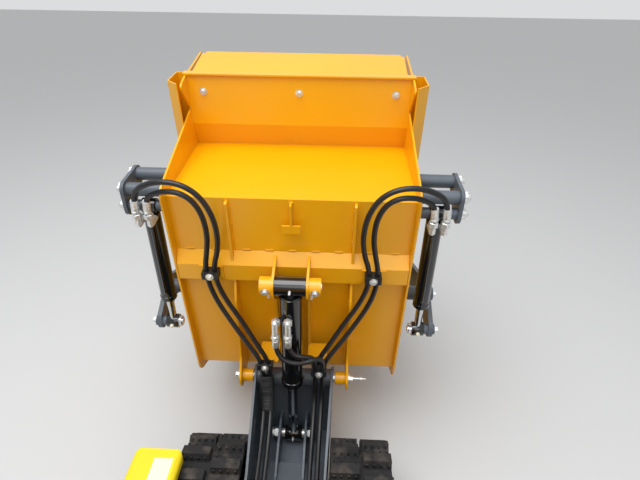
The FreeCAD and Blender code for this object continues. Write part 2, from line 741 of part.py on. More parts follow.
def rear_panel():
    """Leaning panel above the ledge, its corners clipped, on a bolted flange."""
    outer = skip_half + side_plate
    flange = slab_x(skip_rows([(-243.0, 350.0, 0), (-237.2, 350.0, 0), (-237.2, 380.0, 0), (-243.0, 380.0, 0)]), -outer - 5, outer + 5)
    wall = slab_x(skip_rows(sheet([(-239.0, 352.0), (-259.0, 561.0), (-244.0, 573.0)], -4)), -skip_half + 8, skip_half - 8)
    clip = skip_rows([(-300.0, 545.0, 0), (-200.0, 545.0, 0), (-200.0, 600.0, 0), (-300.0, 600.0, 0)])
    corner = slab_x(clip, skip_half - 20, skip_half)
    base_y, base_z = skip_point(-237.0, 380.0)
    taper = slab_y([(skip_half - 15, base_z - 40, 0), (skip_half, base_z - 40, 0), (skip_half, base_z + 170, 0),
                    (skip_half - 8, base_z + 170, 0)], base_y - 60, base_y + 40)
    wall = wall.cut(corner).cut(mirrored(corner)).cut(taper).cut(mirrored(taper))
    return fuse([flange, wall])


def skip_rails():
    """Outward-bent band along the top of each side plate."""
    x0 = skip_half + side_plate
    x1 = x0 + 37
    _, low = skip_point(0, 262)
    _, high = skip_point(0, 392)
    y0, _ = skip_point(-236, 0)
    y1, _ = skip_point(skip_floor_length + 125, 0)
    band = [(x0, low), (x1, low + 36), (x1, high), (x0, high)]
    return both_sides(slab_y(sheet(band, rail_sheet), y0, y1))


def skip_ribs():
    """Underside weldment: hinge ears, cylinder cheeks, cross channel, hose tabs and a lug."""
    deep = -channel_depth
    # u, w, corner radius
    ear_rows = [(8.0, 0.0, 0), (8.0, -18.0, 6), (300.0, -22.0, 60), (362.0, -50.0, 60), (600.0, hinge_w + 8, 60),
                (hinge_u - 20, hinge_w - ear_radius, 20), (hinge_u + ear_radius, hinge_w - ear_radius, 37.9),
                (hinge_u + ear_radius, 0.0, 0)]
    ear = slab_x(skip_rows(ear_rows), ear_x, ear_x + ear_plate)
    boss = bar_x(0, 0, 22, chassis_half_front + 6, ear_x + 1)
    cheek_rows = [(195.0, 0.0, 0), (205.0, -60.0, 10), (upper_pin_u - 24, upper_pin_w - 30, 24), (upper_pin_u + 24, upper_pin_w - 30, 24),
                  (330.0, -62.0, 40), (690.0, -36.0, 10), (700.0, 0.0, 0)]
    cheek = slab_x(skip_rows(cheek_rows), cheek_x, cheek_x + cheek_thick)
    pin_y, pin_z = skip_point(upper_pin_u, upper_pin_w)
    pin_boss = bar_x(pin_y, pin_z, 28, cheek_x + cheek_thick - 1, cheek_x + cheek_thick + 36)
    pieces = [ear, boss, cheek, pin_boss]
    # x from, x to, u from, u to, w from, w to: flat plates welded on
    plates = [(215.0, 290.0, 226.0, 272.0, deep - 6, deep + 1),
              (cheek_x + 1, 114.0, lower_clamp_u - 3, lower_clamp_u + 3, lower_clamp_w + 14, deep - 8),
              (62.0, 118.0, lower_clamp_u - 14, lower_clamp_u + 14, lower_clamp_w + 12, lower_clamp_w + 18)]
    for x0, x1, u0, u1, w0, w1 in plates:
        y0, z0 = skip_point(u0, w0)
        y1, z1 = skip_point(u1, w1)
        pieces.append(box(x0, y0, z0, x1, y1, z1))
    pieces += [mirrored(piece) for piece in pieces]
    channel = sheet([(channel_u, 0.0), (channel_u + 38, deep), (channel_u + 98, deep), (channel_u + 98, 0.0)], channel_leaf)
    pieces.append(slab_x(skip_rows(channel), -skip_half + 0.5, skip_half - 0.5))
    for x0, x1, u0, u1, w0, w1 in ((-3.0, 3.0, 8.0, 100.0, -24.0, 0.0), (-28.0, 28.0, 76.0, 104.0, -24.0, -18.0)):
        y0, z0 = skip_point(u0, w0)
        y1, z1 = skip_point(u1, w1)
        pieces.append(box(x0, y0, z0, x1, y1, z1))
    weld = fuse(pieces)
    holes = [bar_x(0, 0, hinge_pin_radius + pin_clearance, -220, 220),
             bar_x(pin_y, pin_z, tip_pin_radius + pin_clearance, -120, 120)]
    return weld.cut(Part.makeCompound(holes))


def hinge_pin():
    reach = ear_x + ear_plate
    head = bar_x(0, 0, 20, reach + seat_gap, reach + 6)
    return fuse([bar_x(0, 0, hinge_pin_radius, -reach - 6, reach + 6), head, mirrored(head)])


def upper_pin():
    y, z = skip_point(upper_pin_u, upper_pin_w)
    reach = cheek_x + cheek_thick + 36
    return bar_x(y, z, tip_pin_radius, -reach - 2, reach + 2)


def spot_of(pair):
    return skip_point(*pair)


def hub_brackets():
    """Spacer tubes, cylinder-pin sleeves and an oblong outer plate at each rear corner."""
    x0 = skip_half + side_plate
    (y1, z1), (y2, z2), (y3, z3) = spot_of(hub_upper), spot_of(hub_lower), skip_point(side_pin_u, side_pin_w)
    eye0, eye1 = side_axis_x - side_eye_width / 2, side_axis_x + side_eye_width / 2
    pieces = [bar_x(y1, z1, hub_tube_radius, x0, hub_plate_x + 1), bar_x(y2, z2, hub_tube_radius, x0, hub_plate_x + 1),
              bar_x(y3, z3, 17, x0, eye0 - side_play), bar_x(y3, z3, 17, eye1 + side_play, hub_plate_x + 1)]
    rows = [(y1 - 26, z1 + 26, 24), (y1 + 28, z1 + 26, 24), (y3 + 28, z3 + 18, 24), (y3 + 28, z3 - 28, 24),
            (y2 - 28, z2 - 30, 24)]
    pieces.append(slab_x(rows, hub_plate_x, hub_plate_x + hub_plate))
    bracket = fuse(pieces)
    holes = [bar_x(y, z, hub_bolt_radius + seat_gap, x0 - 1, 600) for y, z in ((y1, z1), (y2, z2))]
    holes.append(bar_x(y3, z3, side_pin_radius + pin_clearance, x0 - 1, 600))
    return both_sides(bracket.cut(Part.makeCompound(holes)))


def bracket_nuts():
    """Through bolts with domed nuts, and the cylinder's base pin with its own."""
    x0 = skip_half + side_plate
    face = hub_plate_x + hub_plate
    bolts = []
    for (y, z), radius in ((spot_of(hub_upper), hub_bolt_radius), (spot_of(hub_lower), hub_bolt_radius),
                           (skip_point(side_pin_u, side_pin_w), side_pin_radius)):
        shank = bar_x(y, z, radius, x0, face + nut_height)
        nut = bar_x(y, z, nut_radius, face, face + nut_height)
        dome = Part.makeSphere(nut_radius - 3, Vec(face + nut_height, y, z))
        bolts.append(fuse([shank, nut, dome]))
    return both_sides(Part.makeCompound(bolts))


def arm_pivots():
    """Stub shafts on the skip's sides that carry the shovel's arms."""
    y, z = skip_point(arm_pivot_u, arm_pivot_w)
    x0 = skip_half + side_plate
    face = arm_plate_x + arm_plate
    boss = bar_x(y, z, 25, x0, arm_plate_x - 5)
    stub = bar_x(y, z, 15, x0, face + 14)
    cap = bar_x(y, z, 24, face + 2, face + 14)
    return both_sides(fuse([boss, stub, cap]))


# Hoses. Points are x, u, w: side cylinder, over the skip's rear edge, both clamps.
# Drawn for this place of the cylinder's axis; the ends follow it, the rest less and less.
drawn_axis_x = 420.0
hose_bend_x = 260.0
hose_end_x = 400.0
side_route_a = [(436, 20, -42), (431, -26, -43), (400, -62, -54), (343, -84, -64), (285, -80, -68),
                (240, -47, -67), (214, 13, -64), (207, 85, -60), (216, 150, -56), (236, 210, -53),
                (236, 275, -53), (212, 345, -60), (168, 415, -78), (122, 485, -108), (78, 547, -137), (78, 590, -137)]
side_route_b = [(402, 20, -42), (398, -14, -43), (372, -38, -52), (332, -52, -60), (290, -50, -64),
                (258, -24, -64), (240, 26, -62), (238, 95, -58), (250, 158, -55), (262, 210, -53),
                (262, 275, -53), (244, 345, -60), (204, 417, -78), (152, 488, -108), (102, 547, -137), (102, 590, -137)]
# x, u, w: from the tipping cylinder's ports across to the right-hand lower clamp
tip_route_a = [(-45, 415, -167), (-44, 447, -172), (-24, 476, -178), (18, 487, -182), (60, 478, -178),
               (92, 482, -168), (102, 512, -158), (102, 550, -155), (102, 590, -155)]
tip_route_b = [(-6, 415, -167), (-3, 440, -173), (14, 459, -180), (42, 464, -180), (66, 474, -172),
               (77, 506, -160), (78, 548, -155), (78, 590, -155)]
# y, z behind the hinge tube and down the channel to the bulkhead, and how far x closes in
frame_route = [(-62, 345, 1), (-98, 305, 3), (-160, 274, 5), (-260, 254, 7), (-370, 243, 8), (-480, 239, 8), (-580, 240, 8)]


def level_points(route, side=1):
    return [(side * x, *skip_point(u, w)) for x, u, w in route]


def side_hoses(side, grown=0.0):
    shift = side_axis_x - drawn_axis_x
    hoses = []
    for route in (side_route_a, side_route_b):
        shares = [max(0.0, min(1.0, (x - hose_bend_x) / (hose_end_x - hose_bend_x))) for x, _, _ in route]
        spread = [(x + shift * share, u, w) for (x, u, w), share in zip(route, shares)]
        hoses.append(hose(level_points(spread, side), hose_radius + grown))
    return hoses


def tip_hoses(grown=0.0):
    return [hose(level_points(route), hose_radius + grown) for route in (tip_route_a, tip_route_b)]


def frame_hose_points(side, x, w, lift):
    """From the lower clamp's end, already parked, to the bulkhead."""
    y, z = skip_point(lower_clamp_u + 25, w)
    y, z = turned_point(y, z, -tip_angle)
    y2, z2 = skip_point(lower_clamp_u + 55, w)
    y2, z2 = turned_point(y2, z2, -tip_angle)
    points = [(side * x, y, z + hinge_z), (side * x, y2, z2 + hinge_z)]
    points += [(side * (x - close), y3 - lift * 0.6, z3 + lift) for y3, z3, close in frame_route]
    points.append((side * (x - 8), bulkhead_y, 242 + lift))
    return points


def frame_hoses():
    # side, x, w at the clamp, how far above the lower pair
    rows = ((-1, 78, lower_clamp_w, 0), (-1, 102, lower_clamp_w, 0), (1, 78, lower_clamp_w, 0), (1, 102, lower_clamp_w, 0),
            (1, 78, tip_hose_w, 19), (1, 102, tip_hose_w, 19))
    return [hose(frame_hose_points(*row), hose_radius) for row in rows]


def hose_clamps():
    """Two-hose clamp blocks under the skip, the right-hand lower one in two layers."""
    blocks = []
    # x, u, w low, w high, side
    for x, u, low, high, side in ((249.0, upper_clamp_u, -70.0, -channel_depth - 6, -1), (249.0, upper_clamp_u, -70.0, -channel_depth - 6, 1),
                                  (90.0, lower_clamp_u, lower_clamp_w - 13, lower_clamp_w + 12, -1),
                                  (90.0, lower_clamp_u, tip_hose_w - 13, lower_clamp_w + 12, 1)):
        y0, z0 = skip_point(u - 12, low)
        y1, z1 = skip_point(u + 12, high)
        block = box(x - 25, y0, z0, x + 25, y1, z1)
        blocks.append(block if side > 0 else mirrored(block))
    grips = side_hoses(-1, hose_grip) + side_hoses(1, hose_grip) + tip_hoses(hose_grip)
    return [block.cut(Part.makeCompound(grips)) for block in blocks]


# Cylinders

def barrel(length, outer, bore, rod_radius, eye_radius, eye_width, pin_radius):
    """Cylinder barrel along +Y from its eye's centre, with its gland nut."""
    tube = Part.makeCylinder(outer, length - eye_radius * 0.9, Vec(0, eye_radius * 0.9, 0), Vec(0, 1, 0))
    eye = bar_x(0, 0, eye_radius, -eye_width / 2, eye_width / 2)
    neck = Part.makeCylinder(outer * 0.6, eye_radius * 1.2, Vec(0, 0, 0), Vec(0, 1, 0))
    body = fuse([tube, eye, neck])
    start = eye_radius * 0.9 + 12
    body = body.cut(Part.makeCylinder(bore, length - 30 - start, Vec(0, start, 0), Vec(0, 1, 0)))
    body = body.cut(Part.makeCylinder(rod_radius + pin_clearance, 60, Vec(0, length - 40, 0), Vec(0, 1, 0)))
    return body.cut(bar_x(0, 0, pin_radius + pin_clearance, -60, 60))


def ram(start, end, rod_radius, bore, eye_radius, eye_width):
    """Rod from its piston, at a distance from the base eye, to its own eye, the pin's middle in it."""
    stem = Part.makeCylinder(rod_radius, end - start, Vec(0, start, 0), Vec(0, 1, 0))
    piston = Part.makeCylinder(bore - pin_clearance, 26, Vec(0, start, 0), Vec(0, 1, 0))
    return fuse([stem, piston, bar_x(end, 0, eye_radius, -eye_width / 2, eye_width / 2)])


def aim(shape, x, start, end):
    """Turn a shape drawn along +Y at the origin to run from start to end, both (y, z)."""
    angle = math.degrees(math.atan2(end[1] - start[1], end[0] - start[0]))
    placed = shape.copy()
    placed.rotate(Vec(0, 0, 0), Vec(1, 0, 0), angle)
    placed.translate(Vec(x, start[0], start[1]))
    return placed


def tip_ends():
    """Parked places of the tipping cylinder's pins."""
    y, z = turned_point(*skip_point(upper_pin_u, upper_pin_w), -tip_angle)
    return (y, z + hinge_z), (lower_pin_y, lower_pin_z)


def tip_barrel():
    upper, lower = tip_ends()
    width = 2 * (cheek_x - side_play)
    body = barrel(tip_barrel_length, tip_barrel_radius, tip_bore_radius, tip_rod_radius, tip_base_eye_radius, width, tip_pin_radius)
    # ports with elbows turned down along the barrel to meet the hoses
    inside = Part.makeCylinder(tip_bore_radius + 1, 80, Vec(0, tip_port_along - 40, 0), Vec(0, 1, 0))
    for x in (-45.0, -6.0):
        knee = (x, tip_port_along, -50.0)
        elbow = fuse([rod((x / 2, tip_port_along, -20), knee, 9), Part.makeSphere(9, Vec(*knee)),
                      rod(knee, (x, tip_port_end - seat_gap, -50.0), 9)])
        body = body.fuse(elbow.cut(inside))
    return aim(body, 0, upper, lower)


def tip_rod():
    upper, lower = tip_ends()
    body = ram(tip_piston_rest, math.dist(upper, lower), tip_rod_radius, tip_bore_radius, tip_rod_eye_radius, 2 * tip_rod_eye_half)
    return aim(body, 0, upper, lower)


def side_ends():
    """Side cylinder's base pin and rod eye, level with the skip."""
    return skip_point(side_pin_u, side_pin_w), skip_point(lever_u, lever_w)


def side_barrel():
    base, eye = side_ends()
    body = barrel(side_barrel_length, side_barrel_radius, side_bore_radius, side_rod_radius,
                  side_eye_radius, side_eye_width, side_pin_radius)
    body = aim(body, side_axis_x, base, eye)
    pieces = [body]
    # elbows on the underside, turned back to meet the hoses
    for x in (side_axis_x + 16, side_axis_x - 18):
        knee_y, knee_z = skip_point(70, -42)
        end_y, end_z = skip_point(21.5, -42)
        _, top_z = skip_point(70, 4)
        pieces.append(rod((x, knee_y, top_z), (x, knee_y, knee_z), 8))
        pieces.append(Part.makeSphere(8, Vec(x, knee_y, knee_z)))
        pieces.append(rod((x, knee_y, knee_z), (x, end_y, end_z), 8))
    return fuse(pieces)


def side_rod():
    base, eye = side_ends()
    reach = math.dist(base, eye)
    body = ram(side_piston_rest, reach, side_rod_radius, side_bore_radius, side_eye_radius, side_eye_width)
    inner = -side_eye_width / 2
    washer = bar_x(reach, 0, 18, inner - side_play - 9, inner - side_play)
    pin_end = bar_x(reach, 0, side_pin_radius, inner - side_play - 13, inner)
    return aim(fuse([body, washer, pin_end]), side_axis_x, base, eye)


# Shovel, level with the skip and at its parked angle

def arm_frame(along, across):
    """Level (y, z) from the arm pivot: along the parked arm and square to it."""
    y, z = skip_point(arm_pivot_u, arm_pivot_w)
    dy, dz = turned_point(along, across, arm_rest_angle)
    return y + dy, z + dz


def shovel_arm():
    """Cranked arm plate with its pivot collar and the cylinder's pin on the lever end."""
    eye = skip_point(lever_u, lever_w)
    pivot = skip_point(arm_pivot_u, arm_pivot_w)
    heel = shovel_heel_along
    # along the arm, across it, corner radius, after the lever end's own corners
    rows = [(40.0, -44.0, 30), (330.0, -30.0, 120), (heel - 15, -shovel_heel_drop + 20, 14), (heel - 110, 45.0, 30),
            (330.0, 62.0, 160), (20.0, 42.0, 34)]
    outline = [(eye[0] - 28, eye[1] - 16, 24), (eye[0] + 26, eye[1] - 24, 22), (eye[0] + 34, eye[1] + 40, 60)]
    outline += [(*arm_frame(a, b), r) for a, b, r in rows]
    outline += [(pivot[0] - 44, pivot[1] + 6, 34)]
    plate = slab_x(outline, arm_plate_x, arm_plate_x + arm_plate)
    eye1 = side_axis_x + side_eye_width / 2
    face = arm_plate_x + arm_plate
    pieces = [plate, bar_x(*eye, 18, eye1 + side_play, arm_plate_x + 1), bar_x(*eye, 17, face - 1, face + 8)]
    arm = fuse(pieces)
    return arm.cut(bar_x(*pivot, 15 + pin_clearance, arm_plate_x - 2, arm_plate_x + arm_plate + 2))


def shovel():
    """Bucket with a rounded heel, side cheeks and a bevelled cutting edge."""
    angle = arm_rest_angle + shovel_tilt
    heel = arm_frame(shovel_heel_along, -shovel_heel_drop)

    def spot(forward, up, radius=0):
        dy, dz = turned_point(forward, up, angle)
        return heel[0] + dy, heel[1] + dz, radius

    t, floor, back = shovel_sheet, shovel_floor, shovel_back
    shell = slab_x([spot(floor, 0), spot(floor, 3), spot(floor - 60, t + 4), spot(floor - 90, t + 4), spot(floor - 94, t),
                    spot(t, t, 66), spot(t, back), spot(0, back), spot(0, 0, 74)], -shovel_half, shovel_half)
    cheek = slab_x([spot(floor - 40, 1), spot(floor - 90, 90, 60), spot(70, back, 40), spot(1, back), spot(1, 1, 73)],
                   shovel_half - 8, shovel_half)
    brow = slab_x([spot(-16, back - 4), spot(40, back - 4), spot(40, back + 4), spot(-16, back + 4)], -shovel_half, shovel_half)
    return fuse([shell, cheek, mirrored(cheek), brow])


def build():
    """Every node's shape, set out from the hinge line."""
    tracks_and_frames = {"track": track(), "track_frame": track_frame()}
    parked = {"side_barrel": side_barrel(), "side_rod": side_rod(), "shovel_arm": shovel_arm()}
    shapes = {
        "chassis_frame": chassis_frame(), "deck": deck(), "cylinder_pin": cylinder_pin(),
        "sprockets": both_sides(sprocket()), "idlers": both_sides(wheel(front_wheel_y, 16)),
        "rollers": both_sides(rollers()), "drive_motors": both_sides(drive_motor()),
        "engine_block": engine_block(), "cowl": cowl(), "console": console_with_holes(),
        "levers": levers(), "lever_grips": lever_grips(), "guard_bar": guard_bar(),
        "fuel_tank": fuel_tank(), "fuel_cap": fuel_cap(), "tank_bracket": tank_bracket(),
        "step": step(), "step_pins": step_pins(), "tip_barrel": tip_barrel(), "tip_rod": tip_rod(),
        "frame_hoses": Part.makeCompound(frame_hoses()),
    }
    level = {
        "skip_shell": skip_shell(), "rear_panel": rear_panel(), "skip_rails": skip_rails(), "skip_ribs": skip_ribs(),
        "hinge_pin": hinge_pin(), "upper_pin": upper_pin(), "hub_brackets": hub_brackets(), "bracket_nuts": bracket_nuts(),
        "arm_pivots": arm_pivots(), "hose_clamps": Part.makeCompound(hose_clamps()), "shovel": shovel(),
        "hoses_left": Part.makeCompound(side_hoses(-1)), "hoses_right": Part.makeCompound(side_hoses(1)),
        "tip_hoses": Part.makeCompound(tip_hoses()),
    }
    # what is welded to the shell ends at its faces
    for name in ("rear_panel", "skip_rails", "skip_ribs"):
        level[name] = level[name].cut(level["skip_shell"])
    for name, shape in tracks_and_frames.items():
        shapes[name + "_left"], shapes[name + "_right"] = mirrored(shape), shape
    for name, shape in parked.items():
        level[name + "_left"], level[name + "_right"] = mirrored(shape), shape
    for name, shape in level.items():
        shapes[name] = tipped(shape)
    return shapes


def middle_shift(shapes):
    """What carries the middle between the step's rear edge and the shovel's tip to Y = 0."""
    rear = min(shape.BoundBox.YMin for shape in shapes.values())
    front = max(shape.BoundBox.YMax for shape in shapes.values())
    return -(rear + front) / 2


def main():
    os.makedirs(PARTS_FOLDER, exist_ok=True)
    shapes = build()
    shift = middle_shift(shapes)
    print("hinge line at y %.4f" % shift)
    for node, shape in sorted(shapes.items()):
        shape.translate(Vec(0, shift, 0))
        if not shape.isValid():
            print("not valid:", node)
        shape.exportStep(os.path.join(PARTS_FOLDER, node + ".step"))
        limits = shape.BoundBox
        print("%-18s solids %d  x %.1f %.1f  y %.1f %.1f  z %.1f %.1f  volume %.0f cm3"
              % (node, len(shape.Solids), limits.XMin, limits.XMax, limits.YMin, limits.YMax,
                 limits.ZMin, limits.ZMax, shape.Volume / 1000))


main()
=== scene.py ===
"""Finish of a tracked site dumper: paint, hoses, fittings, bolts, welds, tread, trim and stage."""

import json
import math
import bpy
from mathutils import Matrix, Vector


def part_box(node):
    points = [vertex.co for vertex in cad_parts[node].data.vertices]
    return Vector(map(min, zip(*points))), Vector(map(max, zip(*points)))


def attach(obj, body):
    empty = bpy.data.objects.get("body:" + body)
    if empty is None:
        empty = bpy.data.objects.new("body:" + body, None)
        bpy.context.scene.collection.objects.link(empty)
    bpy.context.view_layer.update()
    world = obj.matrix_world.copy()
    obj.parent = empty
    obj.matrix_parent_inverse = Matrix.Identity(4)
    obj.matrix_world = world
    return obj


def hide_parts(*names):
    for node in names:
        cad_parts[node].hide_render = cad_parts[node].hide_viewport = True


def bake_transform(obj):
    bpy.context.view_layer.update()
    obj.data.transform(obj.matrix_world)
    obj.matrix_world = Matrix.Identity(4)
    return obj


bl_info = {
    "name": "Site Dumper Finish",
    "version": (1, 0, 0),
    "blender": (4, 5, 0),
    "location": "3D Viewport > Sidebar > Dumper",
    "description": "Adds paint, hoses, fittings, bolts, welds, tread and trim to the site dumper",
    "category": "Object",
}

import bmesh
import bpy
from bpy.props import FloatProperty, FloatVectorProperty, IntProperty, PointerProperty
from mathutils import Matrix, Vector

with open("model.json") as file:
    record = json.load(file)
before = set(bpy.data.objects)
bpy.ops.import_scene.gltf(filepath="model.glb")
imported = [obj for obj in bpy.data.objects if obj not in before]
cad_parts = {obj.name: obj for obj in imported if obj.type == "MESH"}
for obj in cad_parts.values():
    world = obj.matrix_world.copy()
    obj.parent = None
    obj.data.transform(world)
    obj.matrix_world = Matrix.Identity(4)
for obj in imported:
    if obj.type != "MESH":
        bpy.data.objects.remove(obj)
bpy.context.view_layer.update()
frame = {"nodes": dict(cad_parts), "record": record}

SIDES = (("left", -1), ("right", 1))
SHARP_ANGLE = math.radians(35)


# Places, in metres. The skip is set out level, u forward and w up from its rear bottom edge, and is
# parked tipped.

def middle_of(node):
    low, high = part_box(node)
    return (low + high) / 2


def on_axis(spot, x):
    """The place beside another that is straight across the machine from it."""
    return Vector((x, spot.y, spot.z))


TIP = math.radians(85)
HINGE = middle_of("hinge_pin")
HINGE_U, HINGE_W = 0.681, -0.092
LOWER_PIN = middle_of("cylinder_pin")
UPPER_PIN = middle_of("upper_pin")

# u and w of the side cylinders' eyes, the arms' pivots and the hubs' nuts
SIDE_AXIS_X = 0.420
BARREL_EYE = (0.045, 0.020)
ROD_EYE = (0.490, -0.020)
ARM_PIVOT = (0.440, 0.105)
HUB_PINS = ((-0.009, 0.114), (-0.004, 0.028), BARREL_EYE)

# the levers' feet on the console, y from the hinge
LEVERS_X = (-0.165, -0.058, 0.058, 0.165)
LEVER_Y = -1.316


def skip_direction(u, w):
    return Vector((0, u * math.cos(TIP) + w * math.sin(TIP), w * math.cos(TIP) - u * math.sin(TIP)))


def skip_place(x, u, w):
    return on_axis(HINGE, x) + skip_direction(u - HINGE_U, w - HINGE_W)


UNDER = skip_direction(0, -1)
ABOVE_REAR = skip_direction(-1, 0)
BARREL_RUN = (on_axis(LOWER_PIN, 0) - on_axis(UPPER_PIN, 0)).normalized()
BARREL_OUT = Vector((0, BARREL_RUN.z, -BARREL_RUN.y))


def barrel_place(x, along, out):
    """A place along the tipping cylinder from its upper pin, and out towards the operator."""
    return on_axis(UPPER_PIN, x) + BARREL_RUN * along + BARREL_OUT * out


def chassis_place(x, y, z):
    """A place set out from the hinge line along the machine."""
    return Vector((x, HINGE.y + y, z))


def aimed(place, direction, turn=0.0):
    """Matrix that stands a shape drawn up +Z at a place, along a direction."""
    stand = Vector(direction).to_track_quat("Z", "Y").to_matrix().to_4x4()
    return Matrix.Translation(place) @ stand @ Matrix.Rotation(turn, 4, "Z")


# Colours and sizes a user would change

def linear(code):
    """An sRGB hex colour as linear red, green and blue."""
    parts = [int(code[i:i + 2], 16) / 255 for i in (0, 2, 4)]
    return [p / 12.92 if p <= 0.04045 else ((p + 0.055) / 1.055) ** 2.4 for p in parts]


def colour(name, description, code):
    return FloatVectorProperty(name=name, description=description, subtype="COLOR", size=3,
                               min=0, max=1, default=linear(code))


def length(name, description, default):
    return FloatProperty(name=name, description=description, default=default, min=0,
                         unit="LENGTH", precision=4)


class DumperColours(bpy.types.PropertyGroup):
    """Colours of the dumper's finishes."""
    body: colour("Body paint", "Yellow paint of skip and cowl", "F0AC00")
    frame: colour("Frame paint", "Dark paint of chassis, deck, arms and shovel", "565E67")
    cylinder: colour("Cylinder paint", "Black gloss of the cylinder barrels", "101012")
    bar: colour("Hand bar", "Grey paint of the hand bar", "6A7078")
    rubber: colour("Track rubber", "Rubber of the tracks", "1F1F21")
    dust: colour("Dust", "Dried mud in the tread", "57504A")
    hose: colour("Hose", "Cover of the hydraulic hoses", "141416")
    tank: colour("Tank", "Plastic of the fuel tank", "F3DC1E")
    label: colour("Blank panel", "Pale blank panels", "EDE8CF")
    floor: colour("Floor", "Studio floor and background", "DCDDDE")


class DumperSizes(bpy.types.PropertyGroup):
    """Sizes of the added pieces."""
    hose_radius: length("Hose radius", "Outer radius of a hydraulic hose", 0.008)
    bolt_flats: length("Bolt", "Across the flats of a common bolt head", 0.013)
    large_bolt_flats: length("Large bolt", "Across the flats of a pivot's bolt head", 0.019)
    weld_width: length("Weld", "Width of a weld bead", 0.0062)
    weld_length: length("Weld run", "Length of one stitch weld", 0.024)
    weld_gap: length("Weld gap", "Gap between stitch welds", 0.07)
    tread_rib: length("Tread rib", "Width of a rib on a track lug", 0.007)
    wrap_turns: IntProperty(name="Wrap turns", description="Turns of the spiral hose wrap",
                            default=25, min=1)


# Finishes

def add_node(tree, kind, values=None, links=None, **settings):
    """Adds a node with its settings, socket values and incoming links."""
    node = tree.nodes.new(kind)
    for key, value in settings.items():
        setattr(node, key, value)
    for socket, value in (values or {}).items():
        node.inputs[socket].default_value = value
    for socket, source in (links or {}).items():
        tree.links.new(source, node.inputs[socket])
    return node


def start_finish(name, roughness, metallic=0.0, **sockets):
    """A material with one surface shader."""
    material = bpy.data.materials.new(name)
    material.use_nodes = True
    tree = material.node_tree
    shader = tree.nodes["Principled BSDF"]
    shader.inputs["Roughness"].default_value = roughness
    shader.inputs["Metallic"].default_value = metallic
    for socket, value in sockets.items():
        shader.inputs[socket.replace("_", " ")].default_value = value
    return material, tree, shader


def two_tone(tree, shader, first, second, patch, low=0.35, high=0.65):
    """Base colour drifts between two tones, in patches of a size in metres."""
    coords = add_node(tree, "ShaderNodeTexCoord")
    noise = add_node(tree, "ShaderNodeTexNoise", {"Scale": 1 / patch, "Detail": 5.0},
                     {"Vector": coords.outputs["Object"]})
    ramp = add_node(tree, "ShaderNodeValToRGB", links={"Fac": noise.outputs["Fac"]})
    for stop, position, tone in zip(ramp.color_ramp.elements, (low, high), (first, second)):
        stop.position, stop.color = position, (*tone, 1)
    tree.links.new(ramp.outputs["Color"], shader.inputs["Base Color"])
    return coords


def grain(tree, shader, coords, size, strength, depth=0.0004, edge=0.0):
    """Fine relief with a grain of a size in metres, and edges that catch the light over a width."""
    noise = add_node(tree, "ShaderNodeTexNoise", {"Scale": 1 / size, "Detail": 3.0},
                     {"Vector": coords.outputs["Object"]})
    bump = add_node(tree, "ShaderNodeBump", {"Strength": strength, "Distance": depth},
                    {"Height": noise.outputs["Fac"]})
    if edge:
        rounded = add_node(tree, "ShaderNodeBevel", {"Radius": edge}, samples=4)
        tree.links.new(rounded.outputs["Normal"], bump.inputs["Normal"])
    tree.links.new(bump.outputs["Normal"], shader.inputs["Normal"])


def shade(tone, factor):
    return [min(1.0, c * factor) for c in tone]


def even_finish(name, tone, *values, **sockets):
    """A material with one surface shader of one colour."""
    material, tree, shader = start_finish(name, *values, **sockets)
    shader.inputs["Base Color"].default_value = (*tone, 1)
    return material


def body_paint(colours):
    # powder coat on sheet steel: even colour, soft sheen, faint orange peel, 6 mm so that it shows
    material, tree, shader = start_finish("Body powder coat", 0.34, Coat_Weight=0.25,
                                          Coat_Roughness=0.12)
    coords = two_tone(tree, shader, shade(colours.body, 0.94), colours.body, 0.45)
    grain(tree, shader, coords, 0.006, 0.12, edge=0.002)
    return material


def frame_paint(colours):
    # textured chassis paint: dark grey with a dull sheen
    material, tree, shader = start_finish("Frame chassis paint", 0.42)
    coords = two_tone(tree, shader, shade(colours.frame, 0.85), shade(colours.frame, 1.12), 0.12)
    grain(tree, shader, coords, 0.003, 0.25, edge=0.002)
    return material


def cylinder_paint(colours):
    # sprayed gloss enamel: near black with sharp highlights
    return even_finish("Cylinder gloss enamel", colours.cylinder, 0.16, Coat_Weight=0.6,
                       Coat_Roughness=0.05)


def rod_chrome(colours):
    # hard chrome plate, ground: a clear mirror with a slight warm tone
    return even_finish("Rod hard chrome", linear("D4D4D6"), 0.1, 1.0)


def zinc_plate(colours):
    # bright zinc on steel fasteners: pale, slightly cloudy metal
    material, tree, shader = start_finish("Fastener bright zinc", 0.4, 0.8)
    coords = two_tone(tree, shader, linear("D2D4D4"), linear("F4F5F3"), 0.006)
    grain(tree, shader, coords, 0.0012, 0.15, 0.0002)
    return material


def bar_paint(colours):
    # smooth grey enamel on tube
    return even_finish("Bar grey enamel", colours.bar, 0.3)


def track_rubber(colours):
    # moulded rubber: matte, with dried mud that stays in patches
    material, tree, shader = start_finish("Track moulded rubber", 0.82)
    coords = two_tone(tree, shader, colours.rubber, colours.dust, 0.05, 0.5, 0.78)
    grain(tree, shader, coords, 0.004, 0.6, 0.001)
    return material


def hose_rubber(colours):
    # extruded hose cover: black with a soft sheen and a fine cloth mark
    material, tree, shader = start_finish("Hose rubber cover", 0.4)
    coords = two_tone(tree, shader, colours.hose, shade(colours.hose, 1.6), 0.02)
    grain(tree, shader, coords, 0.0015, 0.2, 0.0003)
    return material


def black_plastic(colours):
    # moulded nylon with a fine spark texture
    material, tree, shader = start_finish("Moulding black nylon", 0.5)
    coords = two_tone(tree, shader, linear("161617"), linear("212123"), 0.03)
    grain(tree, shader, coords, 0.0012, 0.3, 0.0003)
    return material


